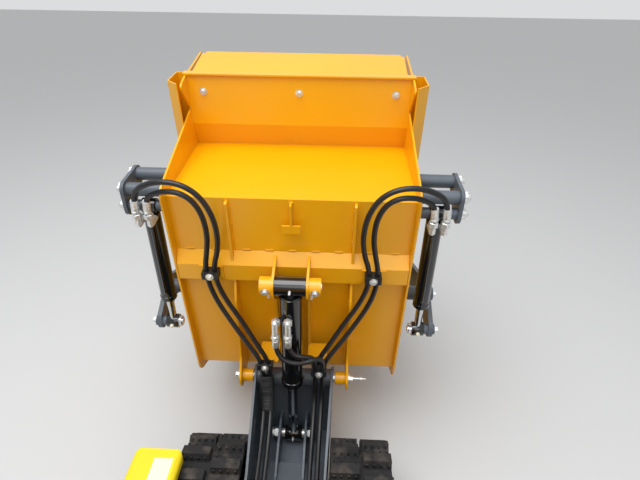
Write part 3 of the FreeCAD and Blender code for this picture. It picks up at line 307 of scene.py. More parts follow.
def tank_plastic(colours):
    # blow-moulded polyethylene: waxy, with a slight ripple
    material, tree, shader = start_finish("Tank polyethylene", 0.38)
    coords = two_tone(tree, shader, shade(colours.tank, 0.93), colours.tank, 0.15)
    grain(tree, shader, coords, 0.012, 0.2, 0.001)
    return material


def pale_film(colours):
    # plain pale film and plastic, without print
    return even_finish("Panel pale film", colours.label, 0.4)


def clear_wrap(colours):
    # nylon tie: milky plastic
    return even_finish("Tie natural nylon", linear("D9DAD4"), 0.35)


FINISHES = {
    "yellow_paint": body_paint, "dark_paint": frame_paint, "black_cylinder": cylinder_paint,
    "plated_rod": rod_chrome, "zinc_steel": zinc_plate, "grey_bar": bar_paint,
    "track_rubber": track_rubber, "hose_rubber": hose_rubber, "black_plastic": black_plastic,
    "tank_plastic": tank_plastic, "pale_film": pale_film, "clear_wrap": clear_wrap}
made = {}


# Shapes, each drawn standing up +Z from the origin

def mesh_of(bm, name):
    """Ends a growing mesh."""
    mesh = bpy.data.meshes.new(name)
    bm.to_mesh(mesh)
    bm.free()
    return mesh


def finished_shape(bm):
    """Ends a closed shape, its doubles merged and its faces outwards."""
    bmesh.ops.remove_doubles(bm, verts=bm.verts, dist=1e-6)
    bmesh.ops.recalc_face_normals(bm, faces=bm.faces)
    return mesh_of(bm, "shape")


def stamp(bm, shape, at=Matrix.Identity(4)):
    """Adds a shape to a growing mesh at a place."""
    before = len(bm.verts)
    bm.from_mesh(shape)
    bm.verts.ensure_lookup_table()
    bmesh.ops.transform(bm, matrix=at, verts=bm.verts[before:])


def turned(rows, segments=24):
    """A turned shape from rows of (radius, height)."""
    bm = bmesh.new()
    verts = [bm.verts.new((radius, 0, height)) for radius, height in rows]
    edges = [bm.edges.new(pair) for pair in zip(verts, verts[1:])]
    bmesh.ops.spin(bm, geom=verts + edges, cent=(0, 0, 0), axis=(0, 0, 1), angle=2 * math.pi,
                   steps=segments, use_merge=True)
    return finished_shape(bm)


def ring(inner, outer, height, slope=0.0, segments=24):
    """A hollow ring whose two ends slope outwards over a part of its height."""
    return turned([(inner, 0), (outer, slope), (outer, height - slope), (inner, height),
                   (inner, 0)], segments)


def block(x, y, z, edge=0.0, low=0.0):
    """A block that stands on a height, its edges bevelled."""
    bm = bmesh.new()
    stand = Matrix.Translation((0, 0, low + z / 2))
    bmesh.ops.create_cube(bm, size=1, matrix=stand @ Matrix.Diagonal((x, y, z, 1)))
    if edge:
        bmesh.ops.bevel(bm, geom=bm.edges[:], offset=edge, segments=2, profile=0.5,
                        affect="EDGES", material=-1)
    return finished_shape(bm)


def hex_prism(flats, height, low=0.0):
    """A hexagon bar that stands on a height, its upper edges chamfered."""
    bm = bmesh.new()
    radius = flats / math.sqrt(3)
    bmesh.ops.create_cone(bm, cap_ends=True, segments=6, radius1=radius, radius2=radius,
                          depth=height, matrix=Matrix.Translation((0, 0, low + height / 2)))
    top = [e for e in bm.edges if all(v.co.z > low + height * 0.9 for v in e.verts)]
    bmesh.ops.bevel(bm, geom=top, offset=flats * 0.06, segments=1, profile=0.5,
                    affect="EDGES", material=-1)
    return finished_shape(bm)


def hex_bolt(flats):
    """Hexagon head on a washer."""
    bm = bmesh.new()
    radius, washer = 0.95 * flats, 0.12 * flats
    stamp(bm, turned([(0, 0), (radius, 0), (radius, washer), (0, washer)]))
    stamp(bm, hex_prism(flats, 0.6 * flats, washer))
    return mesh_of(bm, "bolt")


def nipple():
    """Grease nipple."""
    return turned([(0, -0.002), (0.0045, -0.002), (0.0045, 0.004), (0.0028, 0.005),
                   (0.0028, 0.009), (0.0038, 0.011), (0.0025, 0.014), (0, 0.0145)], 16)


def ferrule(hose_radius, run):
    """Crimped end of a hose: a plain sleeve with a groove near its nut."""
    outer, inner = hose_radius + 0.0030, hose_radius + 0.0020
    return turned([(0, 0), (inner, 0), (outer, 0.0015), (outer, run * 0.18), (inner, run * 0.2),
                   (inner, run * 0.25), (outer, run * 0.27), (outer, run - 0.002), (inner, run),
                   (0, run)])


def elbow_leg(run):
    """One leg of an elbow fitting, rounded at its corner."""
    return turned([(0, -0.0096), (0.0055, -0.008), (0.0090, -0.004), (0.0096, 0), (0.0096, run),
                   (0, run)])


def bead():
    """One ripple of a weld."""
    bm = bmesh.new()
    bmesh.ops.create_icosphere(bm, subdivisions=1, radius=1)
    return finished_shape(bm)


def show(name, mesh, finish, body=None, smooth=True):
    """A finished piece at the origin, riding on a body."""
    mesh.name = name
    piece = bpy.data.objects.new(name, mesh)
    bpy.context.scene.collection.objects.link(piece)
    mesh.materials.clear()
    mesh.materials.append(made[finish])
    if smooth:
        mesh.polygons.foreach_set("use_smooth", [True] * len(mesh.polygons))
        mesh.set_sharp_from_angle(angle=SHARP_ANGLE)
    if body:
        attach(piece, body)
    return piece


def show_stamped(name, shape, places, finish, body):
    """One piece made of one shape at each of several places."""
    bm = bmesh.new()
    for at in places:
        stamp(bm, shape, at)
    return show(name, mesh_of(bm, name), finish, body)


def show_plated(body, *rows):
    """Plated pieces of one body, each from a name, a shape and its places."""
    for name, shape, places in rows:
        show_stamped(name, shape, places, "zinc_steel", body)


def tube_mesh(points, radius, cyclic=False, samples=8):
    """A round tube along a smooth spline through a route."""
    curve = bpy.data.curves.new("route", "CURVE")
    curve.dimensions = "3D"
    spline = curve.splines.new("NURBS")
    spline.points.add(len(points) - 1)
    for knot, point in zip(spline.points, points):
        knot.co = (*point, 1)
    spline.order_u = 3
    spline.use_endpoint_u = not cyclic
    spline.use_cyclic_u = cyclic
    spline.resolution_u = samples
    curve.bevel_depth = radius
    curve.bevel_resolution = 3
    curve.use_fill_caps = True
    holder = bpy.data.objects.new("route", curve)
    bpy.context.scene.collection.objects.link(holder)
    evaluated = holder.evaluated_get(bpy.context.evaluated_depsgraph_get())
    mesh = bpy.data.meshes.new_from_object(evaluated)
    bpy.data.objects.remove(holder)
    bpy.data.curves.remove(curve)
    return mesh


def show_hose(name, points, radius, node):
    """A hose along its route, in place of a node."""
    hose = show(name, tube_mesh(points, radius), "hose_rubber")
    line = tube_mesh(points, 0)
    path = [tuple(vertex.co) for vertex in line.vertices]
    bpy.data.meshes.remove(line)
    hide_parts(node)
    return hose


class Piece:
    """Settings that every operator shares."""
    bl_options = {"REGISTER", "UNDO"}


class DUMPER_OT_finishes(Piece, bpy.types.Operator):
    """Make every finish and paint the machine's own pieces"""
    bl_idname = "dumper.finishes"
    bl_label = "Finishes"

    def execute(self, context):
        colours = context.scene.dumper_colours
        for name, make in FINISHES.items():
            made[name] = make(colours)
        for row in frame["record"]["subparts"]:
            node = frame["nodes"][row["node"]]
            node.data.materials.clear()
            node.data.materials.append(made[row["material_slot"]])
        return {"FINISHED"}


# Hoses. Points are x, u, w in metres.
SIDE_ROUTE_A = [
    (0.436, 0.020, -0.042), (0.431, -0.026, -0.043), (0.400, -0.062, -0.054),
    (0.343, -0.084, -0.064), (0.285, -0.080, -0.068), (0.240, -0.047, -0.067),
    (0.214, 0.013, -0.064), (0.207, 0.085, -0.060), (0.216, 0.150, -0.056),
    (0.236, 0.210, -0.053), (0.236, 0.275, -0.053), (0.212, 0.345, -0.060),
    (0.168, 0.415, -0.078), (0.122, 0.485, -0.108), (0.078, 0.547, -0.137),
    (0.078, 0.590, -0.137)]
SIDE_ROUTE_B = [
    (0.402, 0.020, -0.042), (0.398, -0.014, -0.043), (0.372, -0.038, -0.052),
    (0.332, -0.052, -0.060), (0.290, -0.050, -0.064), (0.258, -0.024, -0.064),
    (0.240, 0.026, -0.062), (0.238, 0.095, -0.058), (0.250, 0.158, -0.055),
    (0.262, 0.210, -0.053), (0.262, 0.275, -0.053), (0.244, 0.345, -0.060),
    (0.204, 0.417, -0.078), (0.152, 0.488, -0.108), (0.102, 0.547, -0.137),
    (0.102, 0.590, -0.137)]
TIP_ROUTE_A = [
    (-0.045, 0.415, -0.167), (-0.044, 0.447, -0.172), (-0.024, 0.476, -0.184),
    (0.018, 0.487, -0.190), (0.060, 0.478, -0.185), (0.092, 0.482, -0.168),
    (0.102, 0.512, -0.158), (0.102, 0.550, -0.155), (0.102, 0.590, -0.155)]
TIP_ROUTE_B = [
    (-0.006, 0.415, -0.167), (-0.003, 0.440, -0.173), (0.014, 0.459, -0.180),
    (0.042, 0.464, -0.180), (0.066, 0.474, -0.172), (0.077, 0.506, -0.160),
    (0.078, 0.548, -0.155), (0.078, 0.590, -0.155)]
# letter, route, length, and the x at which the hose has left its cylinder
SIDE_HOSES = (("a", SIDE_ROUTE_A, 0.966, 0.285), ("b", SIDE_ROUTE_B, 0.869, 0.258))
TIP_HOSES = (("a", TIP_ROUTE_A, 0.293, 0.09), ("b", TIP_ROUTE_B, 0.224, 0.07))
# y, z, and how far x closes in
FRAME_ROUTE = [
    (-0.062, 0.345, 0.001), (-0.098, 0.305, 0.003), (-0.160, 0.274, 0.005),
    (-0.260, 0.254, 0.007), (-0.370, 0.243, 0.008), (-0.480, 0.239, 0.008),
    (-0.580, 0.240, 0.008), (-0.662, 0.242, 0.008)]
# side, x, w at the clamp, how far above the lower pair
FRAME_HOSES = (
    (-1, 0.078, -0.137, 0.0), (-1, 0.102, -0.137, 0.0), (1, 0.078, -0.137, 0.0),
    (1, 0.102, -0.137, 0.0), (1, 0.078, -0.155, 0.019), (1, 0.102, -0.155, 0.019))
CLAMP_RUN_U = (0.590, 0.620)
BULKHEAD_RUN_Y = -0.6


class DUMPER_OT_side_hoses(Piece, bpy.types.Operator):
    """Hoses of the side cylinders, looped over the skip's rear edge"""
    bl_idname = "dumper.side_hoses"
    bl_label = "Side hoses"

    def execute(self, context):
        radius = context.scene.dumper_sizes.hose_radius
        for side_name, side in SIDES:
            for letter, route, run, settled_x in SIDE_HOSES:
                points = [skip_place(side * x, u, w) for x, u, w in route]
                hose = show_hose("hose_%s_%s" % (side_name, letter), points, radius,
                                 "hoses_" + side_name)
                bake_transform(hose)
        return {"FINISHED"}


class DUMPER_OT_tip_hoses(Piece, bpy.types.Operator):
    """Hoses from the tipping cylinder's ports to the right-hand lower clamp"""
    bl_idname = "dumper.tip_hoses"
    bl_label = "Tipping hoses"

    def execute(self, context):
        radius = context.scene.dumper_sizes.hose_radius
        for letter, route, run, settled_x in TIP_HOSES:
            points = [skip_place(x, u, w) for x, u, w in route]
            hose = show_hose("tip_hose_" + letter, points, radius, "tip_hoses")
            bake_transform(hose)
        return {"FINISHED"}


def frame_hose_points(side, x, w, lift):
    """A frame hose's route. The upper pair bends further back, but ends where the others do."""
    points = [skip_place(side * x, u, w) for u in CLAMP_RUN_U]
    for y, z, close in FRAME_ROUTE:
        back = 0.6 * lift if y > BULKHEAD_RUN_Y else 0
        points.append(chassis_place(side * (x - close), y - back, z + lift))
    return points


def blend_past_hinge(piece):
    """Bakes the placing of a piece that runs between the skip's lower clamps and the chassis into
    its mesh.
    """
    skip_place(0, 0.605, HINGE_W - 0.05)
    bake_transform(piece)


class DUMPER_OT_frame_hoses(Piece, bpy.types.Operator):
    """Hoses from the lower clamps past the hinge and down the channel"""
    bl_idname = "dumper.frame_hoses"
    bl_label = "Frame hoses"

    def execute(self, context):
        radius = context.scene.dumper_sizes.hose_radius
        for i, (side, x, w, lift) in enumerate(FRAME_HOSES):
            hose = show_hose("frame_hose_%d" % (i + 1), frame_hose_points(side, x, w, lift),
                             radius, "frame_hoses")
            blend_past_hinge(hose)
        return {"FINISHED"}


class DUMPER_OT_hose_wrap(Piece, bpy.types.Operator):
    """Spiral wrap round the left pair of hoses, and a tie further down"""
    bl_idname = "dumper.hose_wrap"
    bl_label = "Hose wrap and tie"

    def execute(self, context):
        turns, per_turn = context.scene.dumper_sizes.wrap_turns, 10
        half_width, half_depth, tie_depth = 0.0225, 0.0112, 0.0105
        first, second = (frame_hose_points(*row) for row in FRAME_HOSES[:2])
        middles = [(a + b) / 2 for a, b in zip(first, second)][1:4]
        across = Vector((1, 0, 0))
        points = []
        for i in range(turns * per_turn + 1):
            run = i / (turns * per_turn) * (len(middles) - 1)
            k = min(int(run), len(middles) - 2)
            heading = (middles[k + 1] - middles[k]).normalized()
            angle = 2 * math.pi * i / per_turn
            points.append(middles[k].lerp(middles[k + 1], run - k)
                          + across * half_width * math.cos(angle)
                          + heading.cross(across) * half_depth * math.sin(angle))
        wrap = show("hose_wrap", tube_mesh(points, 0.0034, samples=3), "black_plastic")
        blend_past_hinge(wrap)
        centre = (first[7] + second[7]) / 2
        angles = [2 * math.pi * i / 12 for i in range(12)]
        loop = [centre + Vector((half_width * math.cos(a), 0, tie_depth * math.sin(a)))
                for a in angles]
        show("hose_tie", tube_mesh(loop, 0.0018, cyclic=True), "clear_wrap", "root")
        head = aimed(centre + Vector((0, 0, tie_depth)), (0, 0, 1))
        show_stamped("hose_tie_head", block(0.008, 0.006, 0.006, 0.001), [head], "clear_wrap",
                     "root")
        return {"FINISHED"}


class DUMPER_OT_hose_fittings(Piece, bpy.types.Operator):
    """Plated nuts and crimped ends where hoses meet the cylinders"""
    bl_idname = "dumper.hose_fittings"
    bl_label = "Hose fittings"

    def execute(self, context):
        radius = context.scene.dumper_sizes.hose_radius
        nut, crimp, elbow = hex_prism(0.024, 0.016), ferrule(radius, 0.042), elbow_leg(0.034)
        knee_u, nut_ahead, crimp_back = 0.070, 0.030, 0.012
        for side_name, side in SIDES:
            nuts, crimps, elbows = [], [], []
            for route in (SIDE_ROUTE_A, SIDE_ROUTE_B):
                first, second = (skip_place(side * x, u, w) for x, u, w in route[:2])
                x, u, w = route[0]
                away = second - first
                knee = skip_place(side * x, knee_u, w)
                elbows += [aimed(knee, ABOVE_REAR), aimed(knee, -UNDER)]
                nuts.append(aimed(skip_place(side * x, u + nut_ahead, w), ABOVE_REAR))
                crimps.append(aimed(first - away.normalized() * crimp_back, away))
            show_plated("side_barrel_" + side_name,
                        ("fitting_nuts_" + side_name, nut, nuts),
                        ("fitting_elbows_" + side_name, elbow, elbows),
                        ("fitting_crimps_" + side_name, crimp, crimps))
        ports_x, along, out = (-0.045, -0.006), 0.104, 0.050
        bosses = [aimed(barrel_place(x * 0.94, along, out - 0.012), BARREL_OUT) for x in ports_x]
        legs, collars, sleeves = ([aimed(barrel_place(x, along + ahead, out), BARREL_RUN)
                                   for x in ports_x] for ahead in (0, 0.046, 0.055))
        show_plated("tip_barrel",
                    ("tip_fitting_bosses", hex_prism(0.025, 0.013), bosses),
                    ("tip_fitting_elbows", elbow_leg(0.05), legs),
                    ("tip_fitting_nuts", hex_prism(0.025, 0.009), collars),
                    ("tip_fitting_crimps", ferrule(radius, 0.034), sleeves))
        return {"FINISHED"}


def stitches(start, end, run, gap):
    """Start and end of each stitch weld along a seam."""
    total = (end - start).length
    count = max(1, round((total + gap) / (run + gap)))
    pitch = total / count
    heading = (end - start).normalized()
    middles = [start + heading * pitch * (i + 0.5) for i in range(count)]
    return [(middle - heading * run / 2, middle + heading * run / 2) for middle in middles]


def ripples(start, end, width, tall):
    """Matrices of the ripples of one bead."""
    step = width * 0.55
    count = max(2, int((end - start).length / step))
    heading = (end - start).normalized()
    size = Matrix.Diagonal((width / 2, tall, width * 0.5, 1))
    return [aimed(start + heading * step * (i + 0.5), heading) @ size for i in range(count)]


# Seams under the skip, on both sides of its middle: x and u from, x and u to
SEAM_W = -0.001
CHANNEL_REAR_U, CHANNEL_FRONT_U = 0.183, 0.289
SKIP_SEAMS = (
    (0.1815, 0.015, 0.1815, 0.18), (0.1905, 0.015, 0.1905, 0.18),
    (0.1815, 0.295, 0.1815, 0.66), (0.1905, 0.295, 0.1905, 0.66),
    (0.0565, 0.295, 0.0565, 0.68),
    (0.355, CHANNEL_REAR_U, 0.195, CHANNEL_REAR_U),
    (0.355, CHANNEL_FRONT_U, 0.195, CHANNEL_FRONT_U))


class DUMPER_OT_skip_welds(Piece, bpy.types.Operator):
    """Stitch welds along the ribs, channel and ears under the skip"""
    bl_idname = "dumper.skip_welds"
    bl_label = "Skip welds"

    def execute(self, context):
        sizes = context.scene.dumper_sizes
        width = sizes.weld_width
        seams = [(skip_place(side * x0, u0, SEAM_W), skip_place(side * x1, u1, SEAM_W))
                 for side in (-1, 1) for x0, u0, x1, u1 in SKIP_SEAMS]
        seams += [(skip_place(-0.178, u, SEAM_W), skip_place(0.178, u, SEAM_W))
                  for u in (CHANNEL_REAR_U, CHANNEL_FRONT_U)]
        places = []
        for start, end in seams:
            for a, b in stitches(start, end, sizes.weld_length, sizes.weld_gap):
                places += ripples(a, b, width, width * 0.6)
        for x in (-0.004, 0.004):
            places += ripples(skip_place(x, 0.008, SEAM_W), skip_place(x, 0.1, SEAM_W),
                              width, width * 0.6)
        for x in (-0.362, 0.362):
            places += ripples(skip_place(x, 0.02, -0.003), skip_place(x, 0.70, -0.003),
                              width, width * 0.5)
        show_stamped("skip_welds", bead(), places, "yellow_paint", "skip")
        return {"FINISHED"}


class DUMPER_OT_shovel_welds(Piece, bpy.types.Operator):
    """Beads round the pivots on the shovel's arms"""
    bl_idname = "dumper.shovel_welds"
    bl_label = "Shovel welds"

    def execute(self, context):
        size = context.scene.dumper_sizes.weld_width / 2
        arm_face_x, radius, count = 0.4702, 0.0185, 32
        for side_name, side in SIDES:
            places = []
            for i in range(count):
                angle = 2 * math.pi * i / count
                out = Vector((0, math.cos(angle), math.sin(angle)))
                spot = skip_place(side * arm_face_x, *ROD_EYE) + out * radius
                heading = Vector((0, -math.sin(angle), math.cos(angle)))
                places.append(aimed(spot, heading) @ Matrix.Diagonal((size, size, size, 1)))
            show_stamped("arm_welds_" + side_name, bead(), places, "dark_paint", "shovel")
        return {"FINISHED"}


class DUMPER_OT_bolts(Piece, bpy.types.Operator):
    """Bolts on panel, pivots, clamps, hubs and chassis"""
    bl_idname = "dumper.bolts"
    bl_label = "Bolts"

    def execute(self, context):
        sizes = context.scene.dumper_sizes
        small, large = hex_bolt(sizes.bolt_flats), hex_bolt(sizes.large_bolt_flats)
        panel = [aimed(skip_place(x, -0.186, 0.354), UNDER, 0.3) for x in (-0.312, 0.0, 0.312)]
        clamps = [aimed(skip_place(x, u, w), UNDER, turn) for x, u, w, turn in (
            (-0.249, 0.240, -0.070, 0.2), (0.249, 0.240, -0.070, 0.2),
            (-0.090, 0.565, -0.150, 0.5), (0.090, 0.565, -0.168, 0.1))]
        bosses = [aimed(skip_place(x, 0.246, -0.122), UNDER, 0.4) for x in (-0.074, 0.074)]
        show_plated("skip", ("panel_bolts", small, panel), ("clamp_bolts", small, clamps),
                    ("upper_pin_bolts", small, bosses))
        back = Vector((0, -0.6, 0.8))
        lower = [aimed(on_axis(LOWER_PIN, x) + back * 0.0218, back) for x in (-0.061, 0.061)]
        show_plated("root", ("lower_pin_bolts", small, lower))

        def outwards(x, turn, *spots):
            """Matrices at places on both sides, facing away from the middle."""
            return [aimed(on_axis(spot, side * x), (side, 0, 0), turn)
                    for side in (-1, 1) for spot in spots]

        rod_ends = outwards(0.4778, 0.2, skip_place(0, *ROD_EYE))
        show_plated("shovel", ("cylinder_pin_bolts", large, rod_ends))
        hubs = outwards(0.488, 0.0, *(skip_place(0, u, w) for u, w in HUB_PINS))
        show_plated("skip",
                    ("arm_pivot_bolts", large, outwards(0.484, 0.4, skip_place(0, *ARM_PIVOT))),
                    ("hub_washers", ring(0.0152, 0.021, 0.0022), hubs),
                    ("hub_hexes", hex_prism(0.0345, 0.0142), hubs))
        plate = outwards(0.1239, 0.3, *(chassis_place(0, y, 0.262) for y in (-0.335, -0.40)))
        show_plated("root", ("chassis_bolts", small, plate))
        show_plated("skip", ("hinge_bolts", large, outwards(0.196, 0.2, HINGE)))
        return {"FINISHED"}


class DUMPER_OT_wheel_bolts(Piece, bpy.types.Operator):
    """Rings of bolts on sprockets and idlers"""
    bl_idname = "dumper.wheel_bolts"
    bl_label = "Wheel bolts"

    def execute(self, context):
        face_x, count = 0.2595, 6
        places = []
        for node, radius in (("sprockets", 0.066), ("idlers", 0.052)):
            axle = middle_of(node)
            for side in (-1, 1):
                for i in range(count):
                    angle = 2 * math.pi * (i + 0.5) / count
                    spot = Vector((side * face_x, axle.y + radius * math.cos(angle),
                                   axle.z + radius * math.sin(angle)))
                    places.append(aimed(spot, (side, 0, 0), angle))
        bolt = hex_bolt(context.scene.dumper_sizes.bolt_flats)
        show_plated("root", ("wheel_bolts", bolt, places))
        return {"FINISHED"}


class DUMPER_OT_grease_points(Piece, bpy.types.Operator):
    """Grease nipples at the pivots and the long fitting at the right-hand hinge"""
    bl_idname = "dumper.grease_points"
    bl_label = "Grease points"

    def execute(self, context):
        shape = nipple()
        bosses = [aimed(skip_place(x, 0.270, -0.109), UNDER) for x in (-0.064, 0.064)]
        show_plated("skip", ("skip_nipples", shape, bosses))
        upper_eye = aimed(barrel_place(0, 0, 0.030), UNDER)
        show_plated("tip_barrel", ("tip_barrel_nipple", shape, [upper_eye]))
        back = Vector((0, -0.98, 0.2))
        lower_eye = aimed(on_axis(LOWER_PIN, 0) + back * 0.026, back)
        show_plated("tip_rod", ("tip_rod_nipple", shape, [lower_eye]))
        cap = turned([(0, -0.002), (0.0065, -0.002), (0.0065, 0.007), (0.005, 0.009), (0, 0.0095)],
                     16)
        for side_name, side in SIDES:
            rod_eye, barrel_eye = (skip_place(side * SIDE_AXIS_X, *eye) + UNDER * 0.0228
                                   for eye in (ROD_EYE, BARREL_EYE))
            show_stamped("rod_eye_cap_" + side_name, cap, [aimed(rod_eye, UNDER)], "pale_film",
                         "side_rod_" + side_name)
            show_plated("side_barrel_" + side_name,
                        ("barrel_eye_nipple_" + side_name, shape, [aimed(barrel_eye, UNDER)]))
        stem = turned([(0, 0), (0.005, 0), (0.005, 0.03), (0.0075, 0.031), (0.0075, 0.037),
                       (0.0035, 0.038), (0.0035, 0.046), (0.0045, 0.049), (0.003, 0.053),
                       (0, 0.054)], 16)
        hinge_end = aimed(on_axis(HINGE, 0.203), (1, 0, 0))
        show_plated("skip", ("hinge_grease_stem", stem, [hinge_end]))
        return {"FINISHED"}


class DUMPER_OT_cylinder_trim(Piece, bpy.types.Operator):
    """Gland rings, weld rings and the pipes along the side cylinders"""
    bl_idname = "dumper.cylinder_trim"
    bl_label = "Cylinder trim"

    def execute(self, context):
        wiper = turned([(0.0177, -0.002), (0.024, -0.002), (0.024, 0.0004), (0.0177, 0.0006),
                        (0.0177, -0.002)], 32)
        for name, shape, along, finish in (
                ("tip_gland", ring(0.0352, 0.0375, 0.018, 0.001, 40), 0.372, "black_cylinder"),
                ("tip_weld_ring", ring(0.0352, 0.0372, 0.006, 0.002, 40), 0.030, "black_cylinder"),
                ("tip_wiper", wiper, 0.395, "black_plastic")):
            at = aimed(barrel_place(0, along, 0), BARREL_RUN)
            show_stamped(name, shape, [at], finish, "tip_barrel")
        at = aimed(on_axis(LOWER_PIN, -0.03), (1, 0, 0))
        show_stamped("tip_rod_eye", ring(0.0261, 0.0268, 0.06, 0.001, 40), [at], "black_cylinder",
                     "tip_rod")
        base, eye = skip_place(0, *BARREL_EYE), skip_place(0, *ROD_EYE)
        heading = (eye - base).normalized()
        out = Vector((0, heading.z, -heading.y))
        gland = ring(0.0252, 0.027, 0.014, 0.001, 32)
        wiper = turned([(0.0127, 0), (0.018, 0), (0.0165, 0.003), (0.0127, 0.0035),
                        (0.0127, 0)], 32)
        eye_ring = ring(0.0231, 0.0238, 0.04, 0.001, 32)
        pipe_x, pipe_radius = 0.006, 0.0045
        pipe_route = ((0.045, 0.018), (0.048, 0.032), (0.075, 0.034), (0.20, 0.034),
                      (0.285, 0.034), (0.31, 0.032), (0.314, 0.018))
        for side_name, side in SIDES:
            at = aimed(on_axis(eye, side * SIDE_AXIS_X - 0.02), (1, 0, 0))
            show_stamped("side_rod_eye_" + side_name, eye_ring, [at], "black_cylinder",
                         "side_rod_" + side_name)
            body = "side_barrel_" + side_name
            centre = on_axis(base, side * SIDE_AXIS_X)
            for name, shape, along, finish in (("side_gland_", gland, 0.328, "black_cylinder"),
                                               ("side_wiper_", wiper, 0.345, "black_plastic")):
                at = aimed(centre + heading * along, heading)
                show_stamped(name + side_name, shape, [at], finish, body)
            edge = on_axis(base, side * (SIDE_AXIS_X - pipe_x))
            pipe = [edge + heading * along + out * away for along, away in pipe_route]
            show("side_pipe_" + side_name, tube_mesh(pipe, pipe_radius), "black_cylinder", body)
        return {"FINISHED"}


# Tracks: places along the belt, as the belt's lugs are set out
LUG_HEIGHT, LUG_ROOT, LUG_TOP, LUG_PITCH, LUG_GROOVE = 0.025, 0.042, 0.032, 0.0748, 0.013
RIBS_PER_LUG = 4


def track_station(distance, radius, rear_y, front_y, centre_z):
    """Place and heading on the belt's outer face, from its lower rear."""
    run, arc = front_y - rear_y, math.pi * radius
    distance %= 2 * (run + arc)
    if distance < run:
        return rear_y + distance, centre_z - radius, 0.0
    distance -= run
    if distance < arc:
        angle = distance / radius
        return front_y + radius * math.sin(angle), centre_z - radius * math.cos(angle), angle
    distance -= arc
    if distance < run:
        return front_y - distance, centre_z + radius, math.pi
    angle = (distance - run) / radius
    return rear_y - radius * math.sin(angle), centre_z + radius * math.cos(angle), math.pi + angle


def lug_matrices(side_name):
    """For each lug, its row's x range and a matrix with +Z out of the belt and +Y along it."""
    low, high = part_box("track_" + side_name)
    inner, outer = sorted((abs(low.x), abs(high.x)))
    centre_z = (low.z + high.z) / 2
    radius = centre_z - LUG_HEIGHT
    front_y, rear_y = middle_of("idlers").y, middle_of("sprockets").y
    total = 2 * (front_y - rear_y) + 2 * math.pi * radius
    count = int(total // LUG_PITCH)
    middle = (inner + outer) / 2
    for x0, x1, ahead in ((inner, middle - LUG_GROOVE / 2, 0.0),
                          (middle + LUG_GROOVE / 2, outer, 0.5)):
        for i in range(count):
            distance = (i + ahead + 0.1) * total / count
            y, z, heading = track_station(distance, radius, rear_y, front_y, centre_z)
            turn = Matrix.Rotation(heading + math.pi, 4, "X")
            yield x0, x1, Matrix.Translation((0, y, z)) @ turn


class DUMPER_OT_track_tread(Piece, bpy.types.Operator):
    """Small ribs on the slopes of every lug, and low bars between lugs"""
    bl_idname = "dumper.track_tread"
    bl_label = "Track tread"

    def execute(self, context):
        slope = math.atan2((LUG_ROOT - LUG_TOP) / 2, LUG_HEIGHT)
        rib = block(context.scene.dumper_sizes.tread_rib, 0.004, LUG_HEIGHT * 0.86, 0.001)
        bar = block(0.06, 0.008, 0.004, 0.001, -0.001)
        for side_name, side in SIDES:
            bm = bmesh.new()
            for x0, x1, at in lug_matrices(side_name):
                for k in range(RIBS_PER_LUG):
                    x = side * (x0 + (x1 - x0) * (k + 0.5) / RIBS_PER_LUG)
                    for face in (-1, 1):
                        foot = Matrix.Translation((x, face * LUG_ROOT / 2, 0))
                        stamp(bm, rib, at @ foot @ Matrix.Rotation(face * slope, 4, "X"))
                stamp(bm, bar, at @ Matrix.Translation((side * (x0 + x1) / 2, LUG_PITCH / 2, 0)))
            name = "track_ribs_" + side_name
            show(name, mesh_of(bm, name), "track_rubber", "root")
        return {"FINISHED"}


class DUMPER_OT_tank_trim(Piece, bpy.types.Operator):
    """Blank panel, moulding seam and filler collar on the side tank"""
    bl_idname = "dumper.tank_trim"
    bl_label = "Tank trim"

    def execute(self, context):
        low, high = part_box("fuel_tank")
        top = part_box("fuel_cap")[0].z - 0.0023
        # blank panel with two corners cut off
        bm = bmesh.new()
        x0, x1 = high.x - 0.075, high.x - 0.02
        y0, y1, cut = high.y - 0.16, high.y - 0.03, 0.018
        corners = [(x0 + cut, y0), (x1 - cut, y0), (x1, y0 + cut), (x1, y1), (x0, y1),
                   (x0, y0 + cut)]
        face = bm.faces.new([bm.verts.new((x, y, top - 0.0005)) for x, y in corners])
        raised = bmesh.ops.extrude_face_region(bm, geom=[face])["geom"]
        bmesh.ops.translate(bm, vec=(0, 0, 0.0013),
                            verts=[v for v in raised if isinstance(v, bmesh.types.BMVert)])
        show("tank_panel", finished_shape(bm), "pale_film", "root", smooth=False)
        seam = block(0.0022, high.y - low.y - 0.05, 0.0016, low=-0.0006)
        at = Matrix.Translation((high.x - 0.012, (low.y + high.y) / 2, top))
        show_stamped("tank_seam", seam, [at], "tank_plastic", "root")
        collar = turned([(0.0255, 0), (0.031, 0), (0.031, 0.0016), (0.0255, 0.0022), (0.0255, 0)])
        cap = middle_of("fuel_cap")
        at = Matrix.Translation((cap.x, cap.y, top - 0.0002))
        show_stamped("tank_collar", collar, [at], "tank_plastic", "root")
        return {"FINISHED"}


